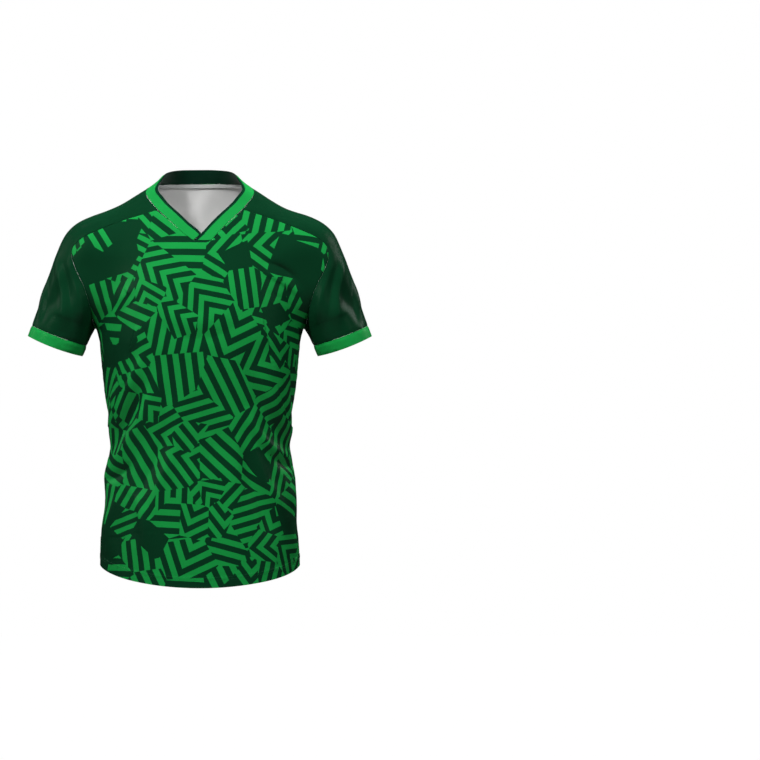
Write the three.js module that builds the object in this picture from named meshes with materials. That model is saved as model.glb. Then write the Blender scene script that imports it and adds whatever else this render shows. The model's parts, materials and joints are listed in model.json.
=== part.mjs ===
// A short-sleeved football jersey, filled out as if worn, with nobody inside it.
// Every piece is a thin cloth wall that follows one skin: a torso given by level sections,
// blended with two slanting arms. The seams run on that skin, and neighbouring pieces
// share the points of their seam, each moved back by half of the seam gap.
// Millimetres, +Z up. The front faces -Y, and the wearer's left is at +X.
// The origin is the middle of the neck's base, level with the tops of the shoulders.
import * as THREE from "three";

// Driving sizes
const PANEL_WALL = 1.5;
const CUFF_WALL = 2.2;
const CUFF_STANDS_OUT = 0.2;
const CUFF_DEPTH = 20;
const CUFF_BOW = 4;
const SEAM_GAP = 0.3;
const COLLAR_WIDTH = { front: 17, back: 24.5 };
const COLLAR_WALL = 1.6;
const FACING_WIDTH = { front: 22.5, back: 27 };
const FACING_WALL = 1.2;
const TAPE_START = 1;
const TAPE_GAP = 0.45;
const TAPE_WIDTH = 7;
const TAPE_WALL = 1;
const HEM_DEPTH = 20;
const HEM_WALL = 2.6;
const SIDE_HEM_HEIGHT = -674;
const FRONT_HEM_DROP = 43;
const BACK_HEM_DROP = 27;
const HEM_CURVE = 1.5;
const SIDE_ASPECT = 1.6;

// How softly the arms run into the torso: the blend's width at the armpit and at the shoulder
const BLEND = { armpit: 22, armpitHeight: -235, shoulder: 56, shoulderHeight: -150 };

// How many strips each piece is divided into
const PANEL_COLUMNS = { arm: 10, flat: 4 };
const HEM_ROWS = [0, 0.5, 0.93, 1];
const SIDE_ROWS = 26;
const ARMHOLE_ROWS = 16;
const SLEEVE_COLUMNS = 18;
const UNDERARM_ROWS = 2;

// The torso's level sections, from the neck down: half its width, its depth in front of
// and behind the shoulder line, and how square it is, where 2 is an ellipse
const TORSO = table(
  ["height", "halfWidth", "front", "back", "square"],
  [
    [40, 60, 34, 50, 2],
    [22, 67, 37, 56, 2],
    [12, 75, 40, 60, 2],
    [0, 91, 45, 66, 2],
    [-14, 114, 49, 72, 2],
    [-28, 133, 54, 78, 2],
    [-43, 155, 62, 84, 2.05],
    [-60, 172, 70, 90, 2.1],
    [-80, 182, 79, 96, 2.15],
    [-110, 184, 91, 103, 2.2],
    [-150, 181, 105, 108, 2.25],
    [-200, 178, 116, 108, 2.3],
    [-260, 179, 120, 101, 2.3],
    [-330, 174, 116, 89, 2.3],
    [-400, 167, 110, 80, 2.3],
    [-460, 163, 107, 78, 2.3],
    [-530, 168, 111, 86, 2.3],
    [-600, 173, 116, 97, 2.3],
    [-660, 178, 120, 104, 2.3],
    [-730, 181, 123, 107, 2.3],
  ],
);

// The arm: a slanting tube from the shoulder joint to the cuff's edge, for the side at +X
const ARM_CUFF = new THREE.Vector3(259, 0, -285);
const ARM_TILT = 20.5;
const ARM_LENGTH = 180;
const ARM = table(
  ["fromCuff", "halfAcross", "halfDeep"],
  [
    [0, 53, 58],
    [60, 54, 62],
    [120, 56, 65],
    [182, 55, 62],
  ],
);

// The seams between a sleeve and the two body panels, for the side at +X, from the neck to
// the armpit. Front and back are the seams seen from the front and from the back, top is
// the way across the shoulder, and centre is how far the fan of the section's points
// starts from the middle of the two seams towards the top.
const ARMHOLE = table(
  ["step", "frontX", "frontZ", "topX", "topZ", "backX", "backZ", "centre"],
  [
    [0, 76, -40, 90, 0, 84, 4, -0.6],
    [1, 110, -51, 115, -14, 107, -18, -0.6],
    [2, 146, -62, 148, -30, 136, -34, -0.5],
    [3, 182, -77, 184, -46, 168, -50, -0.35],
    [4, 212, -91, 214, -62, 196, -67, -0.2],
    [5, 230, -108, 238, -84, 214, -89, 0],
    [6, 231, -130, 254, -112, 216, -115, 0.15],
    [7, 220, -155, 266, -142, 206, -141, 0.3],
    [8, 206, -180, 276, -170, 192, -168, 0.4],
    [9, 197, -208, 284, -192, 186, -201, 0.45],
    [10, 191, -234, 288, -203, 186, -232, 0.5],
    [11, 188, -250, 290, -208.5, 185, -249, 0.5],
  ],
);
const ARMHOLE_STEPS = 11;

// Where the armpit is looked for, and how far a sleeve's outer side is from it
const ARMPIT_SEARCH = { fromX: 176, toX: 204, stepX: 0.5, fromZ: -330, stepZ: 0.25 };
const ARMPIT_FAN_CENTRE = 0.5;
const ARMPIT_TO_OUTER_SIDE = 110;

// The front neckline, for the side at +X, from the shoulder seam down to the V's flat foot
const NECKLINE_ARM = [
  [76, -40],
  [63, -52],
  [50, -64],
  [34, -80],
];
const NECK_FOOT = { wearersRight: -12, wearersLeft: 20, height: -96 };
const BACK_NECK_HEIGHT = 6.5;
const OVERLAP_STEPS = 4;

// The largest folds. Around is the way round the body from the middle of the front, towards
// the wearer's left, in degrees, so the middle of the back is 180. Height is in the frame.
// Rise is how far the cloth stands out, or in where it is negative.
const FOLDS = folds(
  ["fromAround", "fromHeight", "toAround", "toHeight", "rise", "halfWidth"],
  [
    [-40, -330, -84, -470, 7, 17],
    [-58, -330, -96, -430, -5, 14],
    [42, -325, 82, -455, 7, 17],
    [60, -335, 95, -425, -5, 14],
    [-70, -535, -100, -500, 6, 18],
    [68, -560, 98, -505, 6, 18],
    [-75, -470, -105, -455, -6, 12],
    [75, -465, 105, -450, -6, 12],
    [-62, -560, -76, -640, 4, 18],
    [60, -580, 72, -650, 4, 18],
    [110, -420, 150, -480, 6, 16],
    [150, -480, 205, -490, 7, 16],
    [205, -488, 252, -425, 6, 16],
    [118, -462, 165, -528, -6, 14],
    [165, -528, 215, -522, -7, 14],
    [212, -520, 250, -460, -5, 14],
    [135, -545, 180, -570, 5, 15],
    [180, -570, 232, -520, 5, 15],
    [-62, -138, -80, -240, -9, 14],
    [62, -138, 80, -240, -9, 14],
    [-50, -190, -74, -240, 4, 12],
    [50, -188, 74, -240, 4, 12],
    [102, -240, 122, -150, -8, 14],
    [258, -240, 238, -150, -8, 14],
  ],
);

// Sleeve folds. Around is the way round the arm from its outer side, towards the front, in
// degrees, and fromCuff is the distance up the arm from the cuff's edge.
const SLEEVE_FOLDS = sleeveFolds(
  ["fromAround", "fromCuff", "toAround", "toCuff", "rise", "halfWidth"],
  [
    [55, 150, 118, 55, 4, 13],
    [88, 155, 142, 75, -4, 11],
    [-60, 150, -120, 60, 4, 13],
    [-92, 155, -145, 80, -4, 11],
    [20, 120, 55, 40, -2.5, 14],
  ],
);

// Sleeve folds fade out over these distances towards the body and towards the shoulder joint
const SLEEVE_FOLD_FADE = { towardsBody: 40, towardsJoint: 30 };

const CLOTH_LOOK = { roughness: 0.55, metalness: 0 };
const PRINTED = new THREE.MeshStandardMaterial({ color: 0x1d7a3f, ...CLOTH_LOOK });
const DARK = new THREE.MeshStandardMaterial({ color: 0x163f2f, ...CLOTH_LOOK });
const BRIGHT = new THREE.MeshStandardMaterial({ color: 0x23a24a, ...CLOTH_LOOK });
const WHITE = new THREE.MeshStandardMaterial({ color: 0xe6e6e4, ...CLOTH_LOOK });

// Reads a table as a smooth function of its first column, which keeps every row's values
// and never overshoots between two rows
function table(columns, rows) {
  const ordered = [...rows].sort((a, b) => a[0] - b[0]);
  const at = ordered.map((row) => row[0]);
  const last = at.length - 1;
  const slopes = columns.map((_, c) => {
    const secant = at.slice(1).map((x, i) => (ordered[i + 1][c] - ordered[i][c]) / (x - at[i]));
    return at.map((_, i) => {
      if (i === 0) return secant[0];
      if (i === last) return secant[last - 1];
      const [before, after] = [secant[i - 1], secant[i]];
      return before * after <= 0 ? 0 : (2 * before * after) / (before + after);
    });
  });
  return (value) => {
    const x = Math.min(Math.max(value, at[0]), at[last]);
    let i = 0;
    while (i < last - 1 && x > at[i + 1]) i += 1;
    const width = at[i + 1] - at[i];
    const t = (x - at[i]) / width;
    const found = {};
    columns.forEach((name, c) => {
      const rise = ordered[i + 1][c] - ordered[i][c];
      const [m0, m1] = [slopes[c][i] * width, slopes[c][i + 1] * width];
      found[name] = ordered[i][c] + t * (m0 + t * (3 * rise - 2 * m0 - m1 + t * (m0 + m1 - 2 * rise)));
    });
    return found;
  };
}

function mix(a, b, t) {
  return a + (b - a) * t;
}

function ease(t) {
  const x = Math.min(1, Math.max(0, t));
  return x * x * (3 - 2 * x);
}

// How far a flat point lies from the line between two others, and the share along that line
function offLine(x, y, from, to) {
  const [dx, dy] = [to[0] - from[0], to[1] - from[1]];
  const length2 = dx * dx + dy * dy;
  const along = Math.min(1, Math.max(0, ((x - from[0]) * dx + (y - from[1]) * dy) / length2));
  return { off: Math.hypot(x - from[0] - along * dx, y - from[1] - along * dy), along };
}

// One soft ridge or trough, highest in its middle and fading out at both ends
const FOLD_END = 0.15;

function foldRise(x, y, from, to, rise, halfWidth) {
  const { off, along } = offLine(x, y, from, to);
  const fade = Math.sin(Math.PI * mix(FOLD_END, 1 - FOLD_END, along));
  return rise * fade * Math.exp(-((off / halfWidth) ** 2));
}

const BODY_RADIUS = 155;
const DEGREES = Math.PI / 180;

function folds(columns, rows) {
  const sized = rows.map((row) => Object.fromEntries(columns.map((name, c) => [name, row[c]])));
  return (p) => {
    const angle = aroundBody(p);
    let rise = 0;
    for (const f of sized)
      for (const turn of [angle, angle + 360, angle - 360])
        rise += foldRise(
          turn * DEGREES * BODY_RADIUS,
          p.z,
          [f.fromAround * DEGREES * BODY_RADIUS, f.fromHeight],
          [f.toAround * DEGREES * BODY_RADIUS, f.toHeight],
          f.rise,
          f.halfWidth,
        );
    return rise;
  };
}

function sleeveFolds(columns, rows) {
  const sized = rows.map((row) => Object.fromEntries(columns.map((name, c) => [name, row[c]])));
  return (p, side) => {
    const { fromCuff, across, deep, halfAcross } = onArm(p, side);
    const angle = Math.atan2(-deep, across) / DEGREES;
    let rise = 0;
    for (const f of sized)
      rise += foldRise(
        angle * DEGREES * halfAcross,
        fromCuff,
        [f.fromAround * DEGREES * halfAcross, f.fromCuff],
        [f.toAround * DEGREES * halfAcross, f.toCuff],
        f.rise,
        f.halfWidth,
      );
    return rise;
  };
}

// The way round the body of a point, in degrees from the middle of the front
function aroundBody(p) {
  return Math.atan2(p.x / SIDE_ASPECT, -p.y) / DEGREES;
}

// The level direction out of the body's axis for a way round
function outOfBody(around) {
  const a = around * DEGREES;
  return new THREE.Vector3(SIDE_ASPECT * Math.sin(a), -Math.cos(a), 0).normalize();
}

// Where a point is on the arm of one side: side is 1 at +X and -1 at -X
function onArm(p, side) {
  const tilt = ARM_TILT * DEGREES;
  const [x, z] = [p.x * side - ARM_CUFF.x, p.z - ARM_CUFF.z];
  const fromCuff = z * Math.cos(tilt) - x * Math.sin(tilt);
  const across = x * Math.cos(tilt) + z * Math.sin(tilt);
  const { halfAcross, halfDeep } = ARM(fromCuff);
  return { fromCuff, across, deep: p.y - ARM_CUFF.y, halfAcross, halfDeep };
}

// Each shape's share is 1 on its surface and less inside
function torsoShare(p) {
  const s = TORSO(p.z);
  const depth = p.y < 0 ? s.front : s.back;
  const [x, y] = [Math.abs(p.x) / s.halfWidth, Math.abs(p.y) / depth];
  return (x ** s.square + y ** s.square) ** (1 / s.square);
}

function armShare(p, side) {
  const { fromCuff, across, deep, halfAcross, halfDeep } = onArm(p, side);
  const beyondJoint = Math.max(0, fromCuff - ARM_LENGTH);
  return Math.hypot(across / halfAcross, deep / halfDeep, beyondJoint / halfAcross);
}

const PROBE = 0.5;
const LEAST_CLIMB = 1e-4;

// How steeply a function of place climbs, along each axis
function climb(shape, p) {
  const q = p.clone();
  const found = new THREE.Vector3();
  for (const axis of ["x", "y", "z"]) {
    q[axis] = p[axis] + PROBE;
    const after = shape(q);
    q[axis] = p[axis] - PROBE;
    found[axis] = (after - shape(q)) / (2 * PROBE);
    q[axis] = p[axis];
  }
  return found;
}

function distance(shape, p) {
  return (shape(p) - 1) / Math.max(climb(shape, p).length(), LEAST_CLIMB);
}

// The distance of a point outside the skin, negative inside
function outside(p) {
  const side = p.x < 0 ? -1 : 1;
  const body = distance(torsoShare, p);
  const arm = distance((q) => armShare(q, side), p);
  const rise = (p.z - BLEND.armpitHeight) / (BLEND.shoulderHeight - BLEND.armpitHeight);
  const blend = mix(BLEND.armpit, BLEND.shoulder, ease(rise));
  const near = Math.max(blend - Math.abs(body - arm), 0) / blend;
  return Math.min(body, arm) - (near * near * blend) / 4;
}

// A point of the skin with the way out of it. base is the skin before the folds.
function skinPoint(base, side = 0) {
  const out = climb(outside, base).normalize();
  const rise = FOLDS(base) + (side ? SLEEVE_FOLDS(base, side) * sleeveShare(base, side) : 0);
  return { base, out, at: base.clone().addScaledVector(out, rise) };
}

// Sleeve folds fade out towards the seams, so that both sides of a seam agree
function sleeveShare(p, side) {
  const { across, fromCuff } = onArm(p, side);
  const fromBody = across / SLEEVE_FOLD_FADE.towardsBody + 1;
  const belowJoint = (ARM_LENGTH - fromCuff) / SLEEVE_FOLD_FADE.towardsJoint;
  return Math.min(1, Math.max(0, fromBody)) * Math.min(1, Math.max(0, belowJoint));
}

const STRIDE = 6;
const FURTHEST = 420;
const HALVINGS = 22;
const SKIN_ROUNDS = 4;

// The first place where a ray that starts inside leaves the skin
function leaves(from, direction) {
  const p = (t) => from.clone().addScaledVector(direction, t);
  let outer = STRIDE;
  while (outside(p(outer)) < 0 && outer < FURTHEST) outer += STRIDE;
  let inner = outer - STRIDE;
  for (let i = 0; i < HALVINGS; i += 1) {
    const middle = (inner + outer) / 2;
    if (outside(p(middle)) < 0) inner = middle;
    else outer = middle;
  }
  return p(inner);
}

// The place of the skin nearest to a point close to it
function onSkin(p) {
  const q = p.clone();
  for (let i = 0; i < SKIN_ROUNDS; i += 1) q.addScaledVector(climb(outside, q).normalize(), -outside(q));
  return q;
}

function bodyPoint(around, height) {
  return leaves(new THREE.Vector3(0, 0, height), outOfBody(around));
}

const FRONT_WAY = new THREE.Vector3(0, -1, 0);
const BACK_WAY = new THREE.Vector3(0, 1, 0);

// The armpit: the highest place of the gap between the arm and the body
function armpit() {
  const { fromX, toX, stepX, fromZ, stepZ } = ARMPIT_SEARCH;
  const best = new THREE.Vector3(0, 0, -Infinity);
  for (let x = fromX; x <= toX; x += stepX) {
    const p = new THREE.Vector3(x, 0, fromZ);
    while (p.z < 0 && outside(p) > 0) p.z += stepZ;
    if (p.z > best.z) best.copy(p);
  }
  return best;
}

const ARMPIT = armpit();

// The seams of one side, from the neck to the armpit, for the side at +X
const SEAMS = Array.from({ length: ARMHOLE_ROWS + 1 }, (_, i) => {
  if (i === ARMHOLE_ROWS) return { front: ARMPIT, back: ARMPIT, centre: ARMPIT_FAN_CENTRE };
  const s = ARMHOLE((i / (ARMHOLE_ROWS - 1)) * ARMHOLE_STEPS);
  return {
    front: leaves(new THREE.Vector3(s.frontX, 0, s.frontZ), FRONT_WAY),
    back: leaves(new THREE.Vector3(s.backX, 0, s.backZ), BACK_WAY),
    top: new THREE.Vector3(s.topX, 0, s.topZ),
    centre: s.centre,
  };
});
const ARM_OUT = new THREE.Vector3(Math.cos(ARM_TILT * DEGREES), 0, Math.sin(ARM_TILT * DEGREES));
const ARM_UP = new THREE.Vector3(-ARM_OUT.z, 0, ARM_OUT.x);
const ARMPIT_FROM_CUFF = onArm(ARMPIT, 1).fromCuff;
SEAMS[ARMHOLE_ROWS].top = ARMPIT.clone().addScaledVector(ARM_OUT, ARMPIT_TO_OUTER_SIDE);

function mirrored(p, side) {
  return new THREE.Vector3(p.x * side, p.y, p.z);
}

// How far along a chain each of its points lies, from 0 to 1
function lengths(points) {
  const sums = [0];
  points.slice(1).forEach((p, i) => sums.push(sums[i] + p.distanceTo(points[i])));
  return sums.map((s) => s / sums[sums.length - 1]);
}

// A body panel's net: rows of skin points from the hem up, each with as many columns. low and
// high are its two sides, foot is the hem and head the neckline, which are edge points. The
// places between them are worked out by way round and height.
function panelNet(low, high, foot, head) {
  const flat = (p) => new THREE.Vector3(p.around * DEGREES * BODY_RADIUS, p.height, 0);
  const up = lengths(low.map(flat));
  const across = lengths(foot.map(flat));
  const [lastFoot, lastHead] = [foot[foot.length - 1], head[head.length - 1]];
  return low.map((_, j) =>
    foot.map((_, i) => {
      if (j === 0) return foot[i].point;
      if (j === low.length - 1) return head[i].point;
      if (i === 0) return low[j].point;
      if (i === foot.length - 1) return high[j].point;
      const [u, v] = [across[i], up[j]];
      const place = (key) => {
        const [below, above] = [mix(foot[0][key], lastFoot[key], u), mix(head[0][key], lastHead[key], u)];
        return mix(foot[i][key], head[i][key], v) + mix(low[j][key], high[j][key], u) - mix(below, above, v);
      };
      return bodyPoint(place("around"), place("height"));
    }),
  );
}

// A point of an edge, with its way round counted on from a middle, so that it never jumps
function edgePoint(point, middle) {
  let around = aroundBody(point);
  if (around < middle - 180) around += 360;
  if (around > middle + 180) around -= 360;
  return { point, around, height: point.z };
}

// The hem hangs lowest in the middle of the front, and less low in the middle behind
function hemHeight(around) {
  const level = Math.cos(around * DEGREES);
  const drop = level > 0 ? FRONT_HEM_DROP * level ** HEM_CURVE : BACK_HEM_DROP * -level;
  return SIDE_HEM_HEIGHT - drop;
}

// The net of the body panel whose middle is at a way round. seam names its armhole seam, and
// head is its neckline.
function bodyPanel(middle, seam, head) {
  const columns = head.length - 1;
  const side = (turn) => {
    const x = Math.sign(Math.sin((middle + turn) * DEGREES));
    const hem = hemHeight(90);
    const even = SIDE_ROWS - HEM_ROWS.length + 1;
    const heights = [
      ...HEM_ROWS.map((share) => hem + share * HEM_DEPTH),
      ...run(1, even - 1).map((k) => mix(hem + HEM_DEPTH, ARMPIT.z, k / even)),
    ];
    const below = heights.map((height) => ({
      point: bodyPoint(middle + turn, height),
      around: middle + turn,
      height,
    }));
    const above = SEAMS.map((s) => {
      const found = edgePoint(mirrored(s[seam], x), middle);
      return s.front === ARMPIT ? { ...found, around: middle + turn } : found;
    });
    return [...below, ...above.reverse()];
  };
  const foot = Array.from({ length: columns + 1 }, (_, i) => {
    const around = middle + mix(-90, 90, i / columns);
    return { point: bodyPoint(around, hemHeight(around)), around, height: hemHeight(around) };
  });
  return panelNet(side(-90), side(90), foot, head.map((p) => edgePoint(p, middle)));
}

// Even steps along a chain of places seen from the front, on the front of the skin
function frontChain(places, steps) {
  const flat = places.map(([x, z]) => new THREE.Vector3(x, 0, z));
  const share = lengths(flat);
  return Array.from({ length: steps + 1 }, (_, i) => {
    const t = i / steps;
    const k = Math.min(share.length - 2, share.filter((s) => s <= t).length - 1);
    const p = flat[k].clone().lerp(flat[k + 1], (t - share[k]) / (share[k + 1] - share[k]));
    return i === 0 ? SEAMS[0].front : leaves(p, FRONT_WAY);
  });
}

// The front neckline from the wearer's right shoulder seam, by the V's foot, to the left one
function frontNeckline() {
  const { wearersRight, wearersLeft, height } = NECK_FOOT;
  const left = frontChain([...NECKLINE_ARM, [wearersLeft, height]], PANEL_COLUMNS.arm);
  const right = frontChain([...NECKLINE_ARM, [-wearersRight, height]], PANEL_COLUMNS.arm);
  const foot = Array.from({ length: PANEL_COLUMNS.flat - 1 }, (_, i) => {
    const x = mix(wearersRight, wearersLeft, (i + 1) / PANEL_COLUMNS.flat);
    return leaves(new THREE.Vector3(x, 0, height), FRONT_WAY);
  });
  return [...right.map((p) => mirrored(p, -1)), ...foot, ...left.reverse()];
}

// The back neckline drops from both shoulder seams to its level middle half
function backNeckline(columns) {
  const start = SEAMS[0].back;
  const turn = 180 - aroundBody(start);
  return Array.from({ length: columns + 1 }, (_, i) => {
    if (i === 0) return start;
    if (i === columns) return mirrored(start, -1);
    const share = i / columns;
    const rise = Math.sin((Math.PI / 2) * Math.min(1, 4 * share, 4 * (1 - share)));
    return bodyPoint(180 - turn + 2 * turn * share, mix(start.z, BACK_NECK_HEIGHT, rise));
  });
}

// One section of a sleeve: a fan of rays in the plane of the two seams and the top
function fan(front, back, top, centre) {
  const middle = front.clone().add(back).multiplyScalar(0.5);
  const up = top.clone().sub(middle).normalize();
  const across = back.clone().sub(front);
  if (across.length() < 1) across.set(0, 1, 0);
  across.addScaledVector(up, -across.dot(up)).normalize();
  const from = middle.clone().lerp(top, centre);
  const angleOf = (p) => {
    const v = p.clone().sub(from);
    return Math.atan2(v.dot(across), v.dot(up));
  };
  const whole = front === back;
  const [low, high] = whole ? [-Math.PI, Math.PI] : [angleOf(front), angleOf(back)];
  return Array.from({ length: SLEEVE_COLUMNS + 1 }, (_, i) => {
    if (i === 0) return front;
    if (i === SLEEVE_COLUMNS) return back;
    const angle = mix(low, high, i / SLEEVE_COLUMNS);
    const way = up.clone().multiplyScalar(Math.cos(angle)).addScaledVector(across, Math.sin(angle));
    return leaves(from, way);
  });
}

// A ring round the arm at a distance from the cuff's edge, which bows down before and behind
function armRing(fromCuff) {
  const across = new THREE.Vector3(0, 1, 0);
  const bow = CUFF_BOW * (1 - ease(fromCuff / ARMPIT_FROM_CUFF));
  const ring = Array.from({ length: SLEEVE_COLUMNS }, (_, i) => {
    const angle = mix(-Math.PI, Math.PI, i / SLEEVE_COLUMNS);
    const from = ARM_CUFF.clone().addScaledVector(ARM_UP, fromCuff - bow * Math.sin(angle) ** 2);
    const way = ARM_OUT.clone().multiplyScalar(Math.cos(angle)).addScaledVector(across, Math.sin(angle));
    return leaves(from, way);
  });
  return [...ring, ring[0]];
}

const SLEEVE_FANS = SEAMS.map((s) => fan(s.front, s.back, s.top, s.centre));

// Moves a net's points on its seams back from them, by half of the gap. A seam is a chain of
// places in the net, each a row and a column, and the piece lies on one side of it. Where two
// seams meet, the corner moves back from both, but not far out along a sharp one.
const SHARPEST_CORNER = 0.4;

function drawnBack(net, seams) {
  const pulls = new Map();
  for (const seam of seams) {
    const at = ([j, i]) => net[j][i];
    const found = seam.map((place, k) => {
      const before = at(seam[Math.max(0, k - 1)]);
      const after = at(seam[Math.min(seam.length - 1, k + 1)]);
      const out = climb(outside, at(place)).normalize();
      return out.cross(after.clone().sub(before)).normalize();
    });
    const inside = seam.reduce((sum, place, k) => {
      const [j, i] = place;
      const rows = [net[j - 1]?.[i], net[j + 1]?.[i], net[j][i - 1], net[j][i + 1]];
      const towards = rows.filter(Boolean).map((p) => p.clone().sub(at(place)).dot(found[k]));
      return sum + towards.reduce((a, b) => a + b, 0);
    }, 0);
    seam.forEach((place, k) => {
      const way = found[k].multiplyScalar(Math.sign(inside));
      const earlier = pulls.get(place.join());
      if (earlier) way.add(earlier).divideScalar(Math.max(SHARPEST_CORNER, way.dot(earlier)));
      pulls.set(place.join(), way);
    });
  }
  return net.map((row, j) =>
    row.map((p, i) => {
      const way = pulls.get([j, i].join());
      return way ? p.clone().addScaledVector(way, SEAM_GAP / 2) : p.clone();
    }),
  );
}

// The whole numbers from one to another, either way
function run(from, to) {
  const step = Math.sign(to - from);
  return Array.from({ length: Math.abs(to - from) + 1 }, (_, k) => from + step * k);
}

// A cloth wall over a net: its outer face, its inner face, and the rim between them. Outer and
// inner are how far those stand off the skin. In a closed row the first and last columns are
// one, flip turns the faces over, side adds an arm's folds, and turnUp is the wall at the hem.
function clothWall(name, net, look) {
  const { outer, inner, material, side = 0, closed = () => false, flip = false, turnUp = 0 } = look;
  const columns = net[0].length;
  const column = (j, i) => (closed(j) && i === columns - 1 ? 0 : i);
  const index = net.map((row, j) => row.map((_, i) => j * columns + column(j, i)));
  const points = net.flat().map((p) => skinPoint(p, side));
  const hemPoints = turnUp ? (HEM_ROWS.length - 1) * columns : 0;
  const outerAt = points.map((p) => p.at.clone().addScaledVector(p.out, outer));
  const innerAt = points.map((p, k) => p.at.clone().addScaledVector(p.out, k < hemPoints ? -turnUp : inner));
  const count = points.length;
  const faces = [];
  const edges = new Map();
  for (let j = 0; j + 1 < net.length; j += 1)
    for (let i = 0; i + 1 < columns; i += 1) {
      const quad = [index[j][i], index[j][i + 1], index[j + 1][i + 1], index[j + 1][i]];
      const ring = (flip ? quad.reverse() : quad).filter((v, k, all) => v !== all[(k + 1) % all.length]);
      addFace(faces, ring, outerAt, count);
      ring.forEach((v, k) => {
        const next = ring[(k + 1) % ring.length];
        edges.set(`${v},${next}`, [v, next]);
      });
    }
  for (const [a, b] of edges.values()) if (!edges.has(`${b},${a}`)) addRim(faces, a, b, outerAt, innerAt);
  const geometry = new THREE.BufferGeometry();
  const places = [...outerAt, ...innerAt].flatMap((p) => p.toArray());
  geometry.setAttribute("position", new THREE.Float32BufferAttribute(places, 3));
  geometry.setIndex(faces.flat());
  geometry.computeVertexNormals();
  const mesh = new THREE.Mesh(geometry, material);
  mesh.name = name;
  return mesh;
}

// One face of the net on both skins, cut along its shorter diagonal. The inner skin's points
// follow the outer ones' in the list.
function addFace(faces, ring, outerAt, count) {
  const [a, b, c, d] = ring.map((v) => outerAt[v]);
  const turned = d && a.distanceTo(c) > b.distanceTo(d) ? [...ring.slice(1), ring[0]] : ring;
  for (let k = 1; k + 1 < turned.length; k += 1) {
    faces.push([turned[0], turned[k], turned[k + 1]]);
    faces.push([turned[0] + count, turned[k + 1] + count, turned[k] + count]);
  }
}

// The rim between the two skins along one open edge
function addRim(faces, a, b, outerAt, innerAt) {
  const count = outerAt.length;
  const short = outerAt[a].distanceTo(innerAt[b]) < outerAt[b].distanceTo(innerAt[a]);
  if (short) faces.push([a, b + count, b], [a, a + count, b + count]);
  else faces.push([b, a, a + count], [b, a + count, b + count]);
}

const FRONT_NECK = frontNeckline();
const BACK_NECK = backNeckline(2 * PANEL_COLUMNS.arm + PANEL_COLUMNS.flat);
const PANEL_FACES = { outer: 0, inner: -PANEL_WALL, material: PRINTED, turnUp: HEM_WALL };

// Both body panels meet the other at the sides, the sleeves above, and the collar
function panelSeams(net) {
  const [top, last] = [net.length - 1, net[0].length - 1];
  return [
    ...[0, last].flatMap((i) => [
      run(0, SIDE_ROWS).map((j) => [j, i]),
      run(SIDE_ROWS, top).map((j) => [j, i]),
    ]),
    run(0, last).map((i) => [top, i]),
  ];
}

function frontPanel() {
  const net = bodyPanel(0, "front", FRONT_NECK);
  return clothWall("front_panel", drawnBack(net, panelSeams(net)), PANEL_FACES);
}

function backPanel() {
  const net = bodyPanel(180, "back", BACK_NECK);
  return clothWall("back_panel", drawnBack(net, panelSeams(net)), PANEL_FACES);
}

// A sleeve runs over the shoulder to the collar, and closes to a tube below the armpit
function sleeve(name, side) {
  const below = Array.from({ length: UNDERARM_ROWS }, (_, k) =>
    armRing(mix(ARMPIT_FROM_CUFF, CUFF_DEPTH, (k + 1) / UNDERARM_ROWS)),
  );
  const net = [...SLEEVE_FANS, ...below].map((row) => row.map((p) => mirrored(p, side)));
  const foot = net.length - 1;
  const drawn = drawnBack(net, [
    [
      ...run(0, ARMHOLE_ROWS).map((j) => [j, 0]),
      ...run(ARMHOLE_ROWS - 1, 0).map((j) => [j, SLEEVE_COLUMNS]),
    ],
    run(0, SLEEVE_COLUMNS).map((i) => [0, i]),
    [...run(0, SLEEVE_COLUMNS - 1), 0].map((i) => [foot, i]),
  ]);
  return clothWall(name, drawn, {
    outer: 0,
    inner: -PANEL_WALL,
    material: DARK,
    side,
    closed: (j) => j >= ARMHOLE_ROWS,
    flip: side > 0,
  });
}

function cuff(name, side) {
  const net = [CUFF_DEPTH, CUFF_DEPTH / 2, 0].map((d) => armRing(d).map((p) => mirrored(p, side)));
  const drawn = drawnBack(net, [[...run(0, SLEEVE_COLUMNS - 1), 0].map((i) => [0, i])]);
  return clothWall(name, drawn, {
    outer: CUFF_STANDS_OUT,
    inner: CUFF_STANDS_OUT - CUFF_WALL,
    material: BRIGHT,
    side,
    closed: () => true,
    flip: side > 0,
  });
}

// The neckline that the collar follows, from the V's foot up the wearer's left side, round
// the back, and down the wearer's right side to the foot's other end
function neckArms() {
  const { arm, flat } = PANEL_COLUMNS;
  const left = SLEEVE_FANS[0];
  const right = left.map((p) => mirrored(p, -1)).reverse();
  return [
    ...FRONT_NECK.slice(arm + flat),
    ...left.slice(1),
    ...BACK_NECK.slice(1),
    ...right.slice(1),
    ...FRONT_NECK.slice(1, arm + 1),
  ];
}

const BESIDE_STEPS = 6;

// The place at a width from one point of a line on the skin, square to the line
function besideLine(line, i, width) {
  const before = line[Math.max(0, i - 1)];
  const after = line[Math.min(line.length - 1, i + 1)];
  const along = after.clone().sub(before).normalize();
  const p = line[i].clone();
  for (let k = 0; k < BESIDE_STEPS; k += 1) {
    const out = climb(outside, p).normalize();
    const way = out.cross(along).normalize();
    p.copy(onSkin(p.clone().addScaledVector(way, width / BESIDE_STEPS)));
  }
  return p;
}

// The point at a length along a chain of points
function alongChain(chain, length) {
  let left = length;
  for (let k = 0; k + 1 < chain.length; k += 1) {
    const step = chain[k].distanceTo(chain[k + 1]);
    if (left <= step || k + 2 === chain.length) return chain[k].clone().lerp(chain[k + 1], left / step);
    left -= step;
  }
  return chain[0];
}

const FACING_OUTER = -COLLAR_WALL - SEAM_GAP;
const NECK_ARMS = neckArms();
const OVER_CORNER = FRONT_NECK[PANEL_COLUMNS.arm];

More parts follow.
